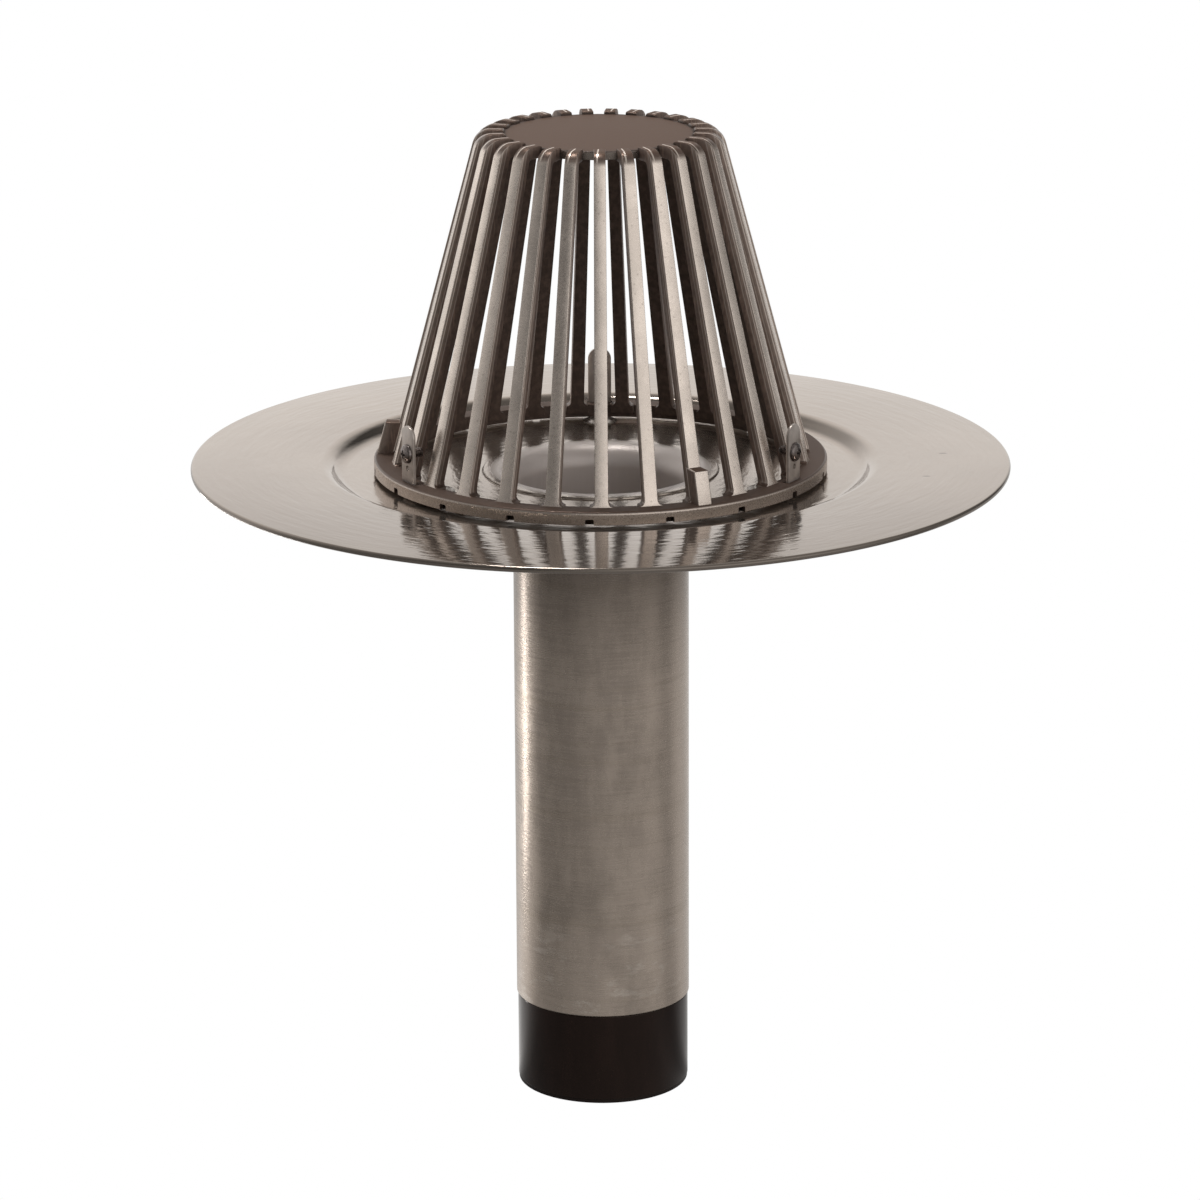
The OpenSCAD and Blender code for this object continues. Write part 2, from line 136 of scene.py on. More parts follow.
class DrainSizes(bpy.types.PropertyGroup):
    """Sizes of the drain that the frame's boxes don't give."""

    sheet_t: length("Sheet", "Thickness of the spun sheet", 3.2)
    sump_depth: length("Sump depth", "Depth of the sump floor below the flange", 6.2)
    sump_bend_r: length("Sump bends", "Radius of the bends between flange and floor", 9.5)
    floor_room: length("Floor room", "Sump floor outside the strainer ring", 15)
    lip_w: length("Lip width", "Width of the raised lip round the throat", 6.5)
    lip_h: length("Lip height", "Height of the lip above the sump floor", 1.2)
    throat_r: length("Throat radius", "Radius that rolls the lip into the stem", 12)
    stem_d: length("Stem", "Outside diameter of the stem", 95.8)
    stem_wall: length("Stem wall", "Wall of the stem", 2.4)
    stem_chamfer: length("Stem chamfer", "Chamfer at the stem's lower edge", 0.7)
    rib_circle_d: length("Rib circle", "Diameter over the ribs at the ring", 227.6)
    rib_w_foot: length("Rib foot", "Width of a rib at the ring", 7.2)
    rib_w_top: length("Rib top", "Width of a rib at the top", 6.2)
    rib_depth: length("Rib depth", "Depth of a rib, square to its outer face", 6.5)
    rib_edge_r: length("Rib edges", "Radius along a rib's edges", 1.0)
    shoulder_r: length("Shoulder", "Outer radius of a rib's shoulder", 9.5)
    rib_fillet_r: length("Rib fillet", "Radius of the fillet at a rib's foot", 3)
    rib_land: length("Rib land", "Level top of a rib before the disc", 6.4)
    nub_h: length("Rib ends", "Height of the rib ends above the disc", 1.5)
    disc_t: length("Disc", "Thickness of the top disc", 4.5)
    ring_in: length("Ring inside", "Reach of the ring inside the ribs' faces", 2.8)
    ring_h: length("Ring height", "Height of the strainer ring", 7.3)
    ring_edge_r: length("Ring edge", "Radius along the ring's outer top edge", 1.8)
    notch_w: length("Notch width", "Width of a weep notch", 4.6)
    notch_h: length("Notch height", "Height of a weep notch", 3.3)
    notch_depth: length("Notch depth", "Depth of a weep notch", 3)
    lug_w: length("Lug width", "Width of a casting lug", 8.3)
    lug_h: length("Lug height", "Height of a casting lug above the ring", 17.3)
    lug_reach: length("Lug reach", "Reach of a casting lug outside the ribs", 7.7)
    bracket_w: length("Bracket width", "Width of a bracket strip", 13)
    bracket_t: length("Bracket sheet", "Thickness of a bracket strip", 1.75)
    bracket_rim: length("Slot rim", "Ring left outside a bracket", 4)
    bracket_bend_r: length("Bracket bend", "Inner radius of a bracket's bend", 1.5)
    slot_clear: length("Slot room", "Room between ring and bracket", 0.45)
    retainer_drop: length("Screw drop", "Drop of the retaining screw below the bracket's top", 15.2)
    small_hole_drop: length("Hole drop", "Drop of the small hole below the screw", 7.9)
    small_hole_d: length("Small hole", "Diameter of the small hole", 3)
    rivet_head_d: length("Rivet head", "Diameter of a rivet's head", 19)
    rivet_head_h: length("Rivet height", "Height of a rivet's head", 1.8)
    rivet_d: length("Rivet shank", "Diameter of a rivet's shank", 6.4)
    rivet_tail_d: length("Rivet tail", "Diameter of a rivet's tail", 10)
    rivet_room: length("Rivet room", "Room between a rivet's head and the ring", 0.5)
    retainer_d: length("Screw", "Thread diameter of a retaining screw", 5)
    retainer_head_d: length("Screw head", "Head diameter of a retaining screw", 10.5)
    retainer_head_h: length("Screw head height", "Head height of a retaining screw", 2.8)
    thread_pitch: length("Thread pitch", "Pitch of the screws' threads", 0.8)
    screw_clear: length("Screw room", "Room round a screw in its hole", 0.3)
    skirt_wall: length("Skirt", "Wall of the sleeve's skirt round the hub", 2.4)
    hub_clear: length("Hub room", "Room between hub and sleeve", 0.3)
    hub_wall: length("Hub wall", "Wall of the lower ring's hub", 10)
    rim_h: length("Rim height", "Height of the lower ring's rim", 2.2)
    sleeve_edge_r: length("Sleeve edge", "Radius along the sleeve's top edge", 0.8)
    seal_screw_d: length("Seal screw", "Thread diameter of a seal screw", 5)
    seal_head_d: length("Seal screw head", "Head diameter of a seal screw", 8.5)
    seal_head_h: length("Seal head height", "Head height of a seal screw", 5)
    insert_d: length("Insert", "Outside diameter of a threaded insert", 7)
    socket_af: length("Socket", "Width across the flats of a seal screw's socket", 4)
    socket_depth: length("Socket depth", "Depth of a seal screw's socket", 2.6)
    rib_lean: angle("Rib lean", "Lean of the ribs from the vertical", 15)
    rib_count: bpy.props.IntProperty(
        name="Ribs", description="Number of ribs", default=27, min=9, max=45, step=3
    )
    notch_count: bpy.props.IntProperty(
        name="Notches", description="Number of weep notches", default=18, min=3, max=36
    )
    notch_az: angle("Notch turn", "Azimuth of the first weep notch", -3)


class DrainColours(bpy.types.PropertyGroup):
    """Linear colours of the drain's finishes."""

    spun: colour("Spun metal", "Flange and sump", (0.475, 0.408, 0.355))
    stem: colour("Stem", "Satin outside of the stem", (0.370, 0.312, 0.266))
    # The faces' pale colour and the skin's darkness on sides and inside are partly painted light and shade
    cast: colour("Cast faces", "Outer faces of the strainer's ribs", (0.76, 0.67, 0.60))
    skin: colour("Casting skin", "Dark skin on the sides and inside of the strainer", (0.105, 0.074, 0.060))
    disc: colour("Disc", "Top disc of the strainer", (0.113, 0.067, 0.046))
    strip: colour("Strip metal", "Brackets", (0.46, 0.41, 0.375))
    rivet: colour("Rivets", "Rivets of the brackets", (0.50, 0.455, 0.415))
    screw: colour("Dark screws", "Retaining screws", (0.23, 0.20, 0.19))
    rubber: colour("Rubber", "Sleeve of the compression seal", (0.0060, 0.0030, 0.0024))
    moulding: colour("Moulding", "Rings of the compression seal", (0.012, 0.008, 0.007))
    brass: colour("Brass", "Threaded inserts", (0.60, 0.45, 0.20))
    plated: colour("Plated steel", "Seal screws", (0.50, 0.49, 0.47))


def sizes():
    return bpy.context.scene.drain_sizes


def colours():
    return bpy.context.scene.drain_colours


class Levels:
    """Heights and radii that several pieces share, worked out from the frame and the sizes."""

    def __init__(self):
        s = sizes()
        low, high = BODY_BOX
        self.flange_r = high.x
        self.deck_z = high.z
        self.stem_end_z = low.z
        self.floor_z = self.deck_z - s.sump_depth
        self.stem_r = s.stem_d / 2
        self.bore_r = self.stem_r - s.stem_wall
        self.lip_r = self.bore_r + s.throat_r + s.lip_w
        self.lip_z = self.floor_z + s.lip_h
        self.ring_r = DOME_BOX[1].x
        self.ring_z = DOME_BOX[0].z
        self.ring_top_z = self.ring_z + s.ring_h
        self.rib_r = s.rib_circle_d / 2
        self.ring_bore_r = self.rib_r - s.ring_in
        self.rib_top_z = DOME_BOX[1].z
        self.disc_z = self.rib_top_z - s.nub_h
        shoulder_z = self.rib_top_z - s.shoulder_r
        self.disc_r = self.rib_face_r(shoulder_z) - s.shoulder_r / math.cos(s.rib_lean) - s.rib_land
        self.sump_r = self.ring_r + s.floor_room
        self.bend_a = math.acos(1 - s.sump_depth / (2 * s.sump_bend_r))
        self.mouth_r = self.sump_r + 2 * s.sump_bend_r * math.sin(self.bend_a)
        self.bracket_face_r = self.ring_r - s.bracket_rim
        self.rivet_r = self.ring_bore_r - s.rivet_room - s.rivet_head_d / 2
        self.bracket_top_z = BRACKET_BOX[1].z
        self.retainer_z = self.bracket_top_z - s.retainer_drop
        self.sleeve_r = SLEEVE_BOX[1].x
        self.hub_r = self.sleeve_r - s.skirt_wall - s.hub_clear
        self.seal_bore_r = self.hub_r - s.hub_wall
        self.seal_screw_r = self.hub_r - s.hub_wall / 2
        self.hub_z = RIM_BOX[1].z
        self.seal_z = SLEEVE_BOX[1].z
        self.upper_z = UPPER_BOX[1].z

    def rib_face_r(self, z):
        """Radius of the ribs' outer faces at a height, before the shoulder."""
        return self.rib_r - (z - self.ring_top_z) * math.tan(sizes().rib_lean)


# ---- mesh helpers -----------------------------------------------------------


def bevel(bm, geom, offset, segments, affect):
    """Rounds edges or corners."""
    bmesh.ops.bevel(
        bm, geom=geom, offset=offset, offset_type="OFFSET", segments=segments, profile=0.5,
        affect=affect, clamp_overlap=affect == "EDGES", material=-1,
    )


def round_edges(bm, edges, radius, segments=2):
    bevel(bm, edges, radius, segments, "EDGES")


def outline_face(bm, points):
    """One face in the XZ plane from (x, z, radius) corners, its corners rounded by bevels."""
    corners = [bm.verts.new((x, 0, z)) for x, z, radius in points]
    bm.faces.new(corners)
    for i, (x, z, radius) in enumerate(points):
        if not radius:
            continue
        here = Vector((x, z))
        to_last = Vector(points[i - 1][:2]) - here
        to_next = Vector(points[(i + 1) % len(points)][:2]) - here
        turn = math.pi - to_last.angle(to_next)
        segments = max(3, round(math.degrees(turn) / BEND_STEP_DEG), round(radius * turn / BEND_STEP))
        bevel(bm, [corners[i]], radius * math.tan(turn / 2), segments, "VERTICES")
    bm.faces.ensure_lookup_table()
    return bm.faces[0]


def turned(points, steps=ROUND_STEPS):
    """Turns a closed outline of (radius, height, rounding) corners round the Z axis."""
    bm = bmesh.new()
    face = outline_face(bm, points)
    edges = list(face.edges)
    bmesh.ops.delete(bm, geom=[face], context="FACES_ONLY")
    verts = list({v for e in edges for v in e.verts})
    bmesh.ops.spin(
        bm, geom=verts + edges, cent=(0, 0, 0), axis=(0, 0, 1), angle=math.tau, steps=steps,
        use_merge=True, use_duplicate=False,
    )
    return bm


def turned_open(points, steps=SMALL_STEPS):
    """Turns an outline that starts and ends on the Z axis, so that the solid is closed there."""
    bm = turned(points, steps)
    bmesh.ops.remove_doubles(bm, verts=bm.verts, dist=TINY)
    inner = [f for f in bm.faces if all(abs(v.co.x) < TINY and abs(v.co.y) < TINY for v in f.verts)]
    bmesh.ops.delete(bm, geom=inner, context="FACES")
    return bm


def extruded(points, width):
    """Extrudes an outline of (x, z, rounding) corners to a width along Y, centred."""
    bm = bmesh.new()
    face = outline_face(bm, points)
    bmesh.ops.translate(bm, vec=(0, -width / 2, 0), verts=face.verts)
    moved = bmesh.ops.extrude_face_region(bm, geom=[face], use_keep_orig=True)["geom"]
    bmesh.ops.translate(bm, vec=(0, width, 0), verts=verts_of(moved))
    return bm


def block(inner, outer, low, high, width):
    """A plain block along +X."""
    return extruded([(inner, low, 0), (outer, low, 0), (outer, high, 0), (inner, high, 0)], width)


def round_bar(radius, bar_l):
    """A plain bar along Z, centred on the origin."""
    bm = bmesh.new()
    bmesh.ops.create_cone(bm, cap_ends=True, segments=48, radius1=radius, radius2=radius, depth=bar_l)
    return bm


def verts_of(geom):
    return [v for v in geom if isinstance(v, bmesh.types.BMVert)]


def everything(bm):
    return list(bm.verts) + list(bm.edges) + list(bm.faces)


def corner_edges(bm):
    """The edges where two faces meet at a corner and not in a bend."""
    return [e for e in bm.edges if e.calc_face_angle(0) > CORNER_ANGLE]


def slice_level(bm, heights):
    """Adds a level loop of edges at each of the heights."""
    for z in heights:
        bmesh.ops.bisect_plane(bm, geom=everything(bm), plane_co=(0, 0, z), plane_no=(0, 0, 1))


def moved_by(bm, matrix):
    bmesh.ops.transform(bm, matrix=matrix, verts=bm.verts)
    return bm


def moved_out(bm, x, z=0):
    bmesh.ops.translate(bm, vec=(x, 0, z), verts=bm.verts)
    return bm


def at_azimuth(degrees):
    """Turns what was built along +X to an azimuth, measured from the front."""
    return Matrix.Rotation(math.radians(degrees - 90), 4, "Z")


def evenly_round(first, count):
    """The turns to so many azimuths, evenly spaced from the first."""
    return [at_azimuth(first + i * 360 / count) for i in range(count)]


def copies(bm, turns):
    """Replaces what is in bm by one copy at each of the matrices."""
    geom = everything(bm)
    for matrix in turns[1:]:
        copy = bmesh.ops.duplicate(bm, geom=geom)["geom"]
        bmesh.ops.transform(bm, matrix=matrix, verts=verts_of(copy))
    bmesh.ops.transform(bm, matrix=turns[0], verts=verts_of(geom))
    return bm


def absorb(bm, mesh):
    """Adds a mesh to bm and drops it."""
    bm.from_mesh(mesh)
    bpy.data.meshes.remove(mesh)


def shade_round(mesh):
    """Smooth shading that stays sharp at corners."""
    mesh.shade_smooth()
    mesh.set_sharp_from_angle(angle=math.radians(SHARP_DEG))


def make_piece(name, bm):
    """Turns a bmesh into a smooth-shaded object at the origin."""
    bmesh.ops.remove_doubles(bm, verts=bm.verts, dist=WELD)
    bmesh.ops.recalc_face_normals(bm, faces=bm.faces)
    mesh = bpy.data.meshes.new(name)
    bm.to_mesh(mesh)
    bm.free()
    shade_round(mesh)
    piece = bpy.data.objects.new(name, mesh)
    bpy.context.scene.collection.objects.link(piece)
    return piece


def cut(piece, cutters):
    """Takes the cutters' volumes out of a piece and drops the cutters."""
    for cutter in cutters:
        boolean = piece.modifiers.new("cut", "BOOLEAN")
        boolean.operation = "DIFFERENCE"
        boolean.solver = "EXACT"
        boolean.object = cutter
    evaluated = piece.evaluated_get(bpy.context.evaluated_depsgraph_get())
    mesh = bpy.data.meshes.new_from_object(evaluated)
    piece.modifiers.clear()
    old = piece.data
    piece.data = mesh
    bpy.data.meshes.remove(old)
    mesh.name = piece.name
    for cutter in cutters:
        bpy.data.meshes.remove(cutter.data)
    shade_round(mesh)


def dress(piece, body, node, material):
    """Fixes a piece to its body, its solid and its finish."""
    piece.data.materials.clear()
    piece.data.materials.append(material)
    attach(piece, body)
    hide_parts(node)


# ---- shader helpers ---------------------------------------------------------


class Sock:
    """A shader socket that takes part in arithmetic by adding Math nodes."""

    def __init__(self, tree, socket):
        self.tree = tree
        self.socket = socket

    def math(self, operation, *values):
        return self.tree.node("ShaderNodeMath", {"operation": operation}, [self, *values])

    def __add__(self, other):
        return self.math("ADD", other)

    __radd__ = __add__

    def __mul__(self, other):
        return self.math("MULTIPLY", other)

    __rmul__ = __mul__

    def __sub__(self, other):
        return self.math("SUBTRACT", other)

    def __rsub__(self, other):
        return self.tree.node("ShaderNodeMath", {"operation": "SUBTRACT"}, [other, self])

    def __truediv__(self, other):
        return self.math("DIVIDE", other)

    def clamp(self):
        return self.tree.node("ShaderNodeMath", {"operation": "ADD", "use_clamp": True}, [self, 0.0])

    def ramp(self, low, high):
        """0 below low and 1 above high, smooth between them."""
        settings = {"interpolation_type": "SMOOTHSTEP"}
        values = {"Value": self, "From Min": low, "From Max": high}
        return self.tree.node("ShaderNodeMapRange", settings, values)

    def fall(self, low, high):
        """1 below low and 0 above high."""
        return 1.0 - self.ramp(low, high)

    def band(self, rise_from, rise_to, fall_from, fall_to):
        """1 between a rise and a fall, and 0 outside them."""
        return self.ramp(rise_from, rise_to) * self.fall(fall_from, fall_to)


class Tree:
    """Adds nodes to one material's or world's node tree. Lengths are in millimetres."""

    def __init__(self, owner):
        owner.use_nodes = True
        self.nodes = owner.node_tree.nodes
        self.links = owner.node_tree.links
        self.nodes.clear()

    def node(self, kind, settings=None, values=None, output=0):
        """Adds a node, makes its settings, then sets or links its sockets. Returns one output."""
        node = self.nodes.new(kind)
        for key, value in (settings or {}).items():
            if key == "stops":
                self.set_stops(node.color_ramp, value)
            else:
                setattr(node, key, value)
        pairs = values.items() if isinstance(values, dict) else enumerate(values or [])
        for key, value in pairs:
            socket = node.inputs[key]
            if isinstance(value, Sock):
                self.links.new(value.socket, socket)
            elif socket.type == "RGBA":
                socket.default_value = (*value[:3], 1.0)
            else:
                socket.default_value = value
        return Sock(self, node.outputs[output]) if len(node.outputs) else None

    @staticmethod
    def set_stops(ramp, stops):
        while len(ramp.elements) < len(stops):
            ramp.elements.new(0.5)
        for element, (place, rgb) in zip(ramp.elements, stops):
            element.position = place
            element.color = (*rgb, 1.0)

    def mix(self, factor, first, second):
        """Mixes two colours."""
        settings = {"data_type": "RGBA", "blend_type": "MIX", "clamp_factor": True}
        return self.node("ShaderNodeMix", settings, {0: factor, 6: first, 7: second}, 2)

    def layers(self, base, *layers):
        """Lays colours over a base, each by its own mask."""
        for mask, rgb in layers:
            base = self.mix(mask, base, rgb)
        return base

    def scaled(self, scale=(1, 1, 1)):
        """Object coordinates in millimetres, stretched by a scale."""
        place = self.node("ShaderNodeTexCoord", output="Object")
        return self.node("ShaderNodeMapping", None, {"Vector": place, "Scale": [1000 * k for k in scale]})

    def component(self, vector, axis):
        return self.node("ShaderNodeSeparateXYZ", None, [vector], axis)

    def place(self, axis):
        """The place along X, Y or Z."""
        return self.component(self.scaled(), axis)

    def vector(self, operation, *values, output="Vector"):
        return self.node("ShaderNodeVectorMath", {"operation": operation}, values, output)

    def radius(self):
        """Distance from the drain's axis."""
        return self.vector("LENGTH", self.scaled(LEVEL), output="Value")

    def away(self):
        """The level direction away from the axis."""
        return self.vector("NORMALIZE", self.scaled(LEVEL))

    def facing_out(self):
        """How far a surface faces away from the axis: 1 straight out, 0 sideways, -1 inwards."""
        normal = self.node("ShaderNodeTexCoord", output="Normal")
        level_normal = self.vector("MULTIPLY", normal, LEVEL)
        return self.vector("DOT_PRODUCT", level_normal, self.away(), output="Value")

    def facing_up(self):
        return self.component(self.node("ShaderNodeTexCoord", output="Normal"), "Z")

    def beside_rib(self, radius):
        """Distance sideways from the middle of the nearest rib."""
        azimuth = self.place("Y").math("ARCTAN2", self.place("X"))
        pitch = math.tau / sizes().rib_count
        return (azimuth / pitch).math("PINGPONG", 0.5) * pitch * radius

    def noise(self, scale, detail=3.0, roughness=0.6, stretch=(1, 1, 1), vector=None):
        values = {"Scale": scale, "Detail": detail, "Roughness": roughness}
        return self.node("ShaderNodeTexNoise", None, {"Vector": vector or self.scaled(stretch), **values})

    def cells(self, scale, stretch=(1, 1, 1)):
        """Distance from the nearest of many scattered points."""
        return self.node("ShaderNodeTexVoronoi", None, {"Vector": self.scaled(stretch), "Scale": scale})

    def bump(self, height, strength, distance, normal=None):
        values = {"Height": height, "Strength": strength, "Distance": distance}
        if normal:
            values["Normal"] = normal
        return self.node("ShaderNodeBump", None, values)

    def surface(self, **values):
        """The one shader of an ordinary material, linked to the output."""
        named = {key.replace("_", " "): value for key, value in values.items()}
        shader = self.node("ShaderNodeBsdfPrincipled", None, named)
        self.node("ShaderNodeOutputMaterial", None, {"Surface": shader})


def finish_material(name, build):
    """The material of that name, made once."""
    if name in bpy.data.materials:
        return bpy.data.materials[name]
    material = bpy.data.materials.new(name)
    build(Tree(material))
    return material


def shade(rgb, factor):
    return tuple(k * factor for k in rgb)


def two_shades(tree, mask, rgb, low, high):
    """A colour that varies between two shares of its brightness."""
    return tree.mix(mask, shade(rgb, low), shade(rgb, high))


# ---- finishes ---------------------------------------------------------------


def stem_tint(tree, z, under_z, lines, mottle):
    """Colour of the stem: satin brown-grey, paler towards its foot, with painted light on its right side and
    a painted shadow under the flange.
    """
    stem = colours().stem
    foot = z.fall(40, 180)
    # Painted light: the stem's right side is paler, as if lit from the front right
    right = tree.place("X").ramp(14, 32)
    scuffs = tree.noise(0.07, 4.0, 0.7, (0.6, 0.6, 1.5)).ramp(0.54, 0.68) * z.fall(60, 130)
    clouds = tree.noise(0.028, 4.0, 0.6, (1, 1, 0.6)).ramp(0.50, 0.72)
    bands = tree.noise(0.08, 3.0, 0.6, (0.01, 0.01, 1.0)).ramp(0.50, 0.68)
    return tree.layers(
        two_shades(tree, mottle.ramp(0.3, 0.7), stem, 0.86, 1.12),
        (foot * 0.5, shade(stem, 1.35)),
        (right * 0.6, shade(stem, 1.5)),
        (scuffs * (0.25 + lines * 0.7), PALE_SCUFF),
        (clouds * 0.5, shade(stem, 0.62)),
        (lines.ramp(0.42, 0.70) * 0.20, shade(stem, 1.5)),
        (lines.fall(0.30, 0.45) * 0.22, shade(stem, 0.55)),
        (bands * 0.30, WARM_BAND),
        # Painted shadow of the flange over the top of the stem
        (z.ramp(under_z - 120, under_z + 8) * 0.92, FLANGE_SHADOW),
        (z.ramp(under_z - 32, under_z) * 0.55, DEEP_FLANGE_SHADOW),
    )


def flange_tint(tree, z, radius, up, on_stem, rings):
    """Colour of the flange and the sump, with painted shade: darker near the front, on the rim and on the
    rear slopes.
    """
    spun = colours().spun
    level = Levels()
    flange_r, ring_r, floor_z = (k / MM for k in (level.flange_r, level.ring_r, level.floor_z))
    y = tree.place("Y")
    broad = tree.noise(0.012, 2.0, 0.5)
    # Painted shade on the flange's outer rim
    rim = radius.ramp(flange_r - 2.2, flange_r - 0.8) * up.fall(0.5, 0.95)
    # Painted shade on the sump's rear slopes
    slope = radius.band(ring_r, ring_r + 6, flange_r - 12, flange_r - 8) * up.fall(0.84, 0.99)
    slope_shade = slope * (1.0 - on_stem) * z.ramp(floor_z - 1, floor_z) * y.ramp(0, 60)
    return tree.layers(
        two_shades(tree, broad.ramp(0.3, 0.7), spun, 0.95, 1.04),
        (rings.ramp(0.45, 0.75) * 0.18, DULL_RING),
        # Painted shade: the flange darker towards the front
        (y.fall(-flange_r, 60) * 0.55, shade(spun, 0.45)),
        (rim * 0.75, shade(spun, 0.28)),
        (slope_shade * 0.72, shade(spun, 0.22)),
    )


def spun_metal(tree):
    """Spun aluminium: glossy on the flange, satin in the throat, brown-grey turning lines on the stem."""
    level = Levels()
    lip_r = level.lip_r / MM
    ring_r = level.ring_r / MM
    under_z = (level.floor_z - sizes().sheet_t) / MM
    radius = tree.radius()
    z = tree.place("Z")
    out = tree.facing_out()
    up = tree.facing_up()
    on_stem = z.fall(under_z - 12, under_z - 2) * out.ramp(-0.2, 0.2)
    in_throat = radius.fall(lip_r - 8, lip_r - 1) * out.fall(0.05, 0.3)
    in_sump = radius.fall(ring_r, ring_r + 14)
    along_radius = tree.node("ShaderNodeCombineXYZ", None, {"X": radius, "Y": 0.0, "Z": 0.0})
    rings = tree.noise(0.55, 2.0, 0.6, vector=along_radius)
    fine_rings = tree.noise(2.2, 1.0, 0.5, vector=along_radius)
    ripple = tree.noise(0.35, 2.0, 0.5)
    lines = tree.noise(1.3, 3.0, 0.7, (0.03, 0.03, 1.0))
    mottle = tree.noise(0.10, 5.0, 0.65, (1, 1, 0.3))
    grain = tree.noise(0.9, 2.0, 0.6)
    nicks = tree.cells(0.021, (0.45, 1, 1)).fall(0.012, 0.03)
    base = tree.layers(
        flange_tint(tree, z, radius, up, on_stem, rings),
        # Painted light in the throat: a grey paler than the spun metal stands in for light on the bore's
        # wall
        (in_throat * 0.9, THROAT_LIT_GREY),
        (on_stem, stem_tint(tree, z, under_z, lines, mottle)),
        (nicks * 0.7, NICK),
    )
    rough = 0.10 + in_sump * 0.08 + (rings - 0.5) * 0.08 + (grain - 0.5) * 0.05
    rough = rough * (1.0 - on_stem) * (1.0 - in_throat)
    rough = rough + in_throat * 0.42 + on_stem * (0.27 + (mottle - 0.5) * 0.14 + (lines - 0.5) * 0.16)
    wall = 1.0 - on_stem
    relief = tree.bump((rings * 0.6 + fine_rings * 0.25 + ripple * 0.45) * wall, 0.12, 0.00022)
    along = tree.node("ShaderNodeVectorMath", {"operation": "SCALE"}, {"Vector": tree.away(), "Scale": 34.0})
    radius_up = tree.node("ShaderNodeCombineXYZ", None, {"X": 0.0, "Y": 0.0, "Z": radius})
    waves = tree.noise(0.22, 2.0, 0.55, vector=tree.vector("ADD", along, radius_up))
    relief = tree.bump(waves * wall, 1.0, 0.00022, relief)
    relief = tree.bump((lines + grain * 0.35) * on_stem, 0.45, 0.00025, relief)
    tree.surface(Base_Color=base, Roughness=rough, Metallic=0.9 - in_throat * 0.40, Normal=relief)


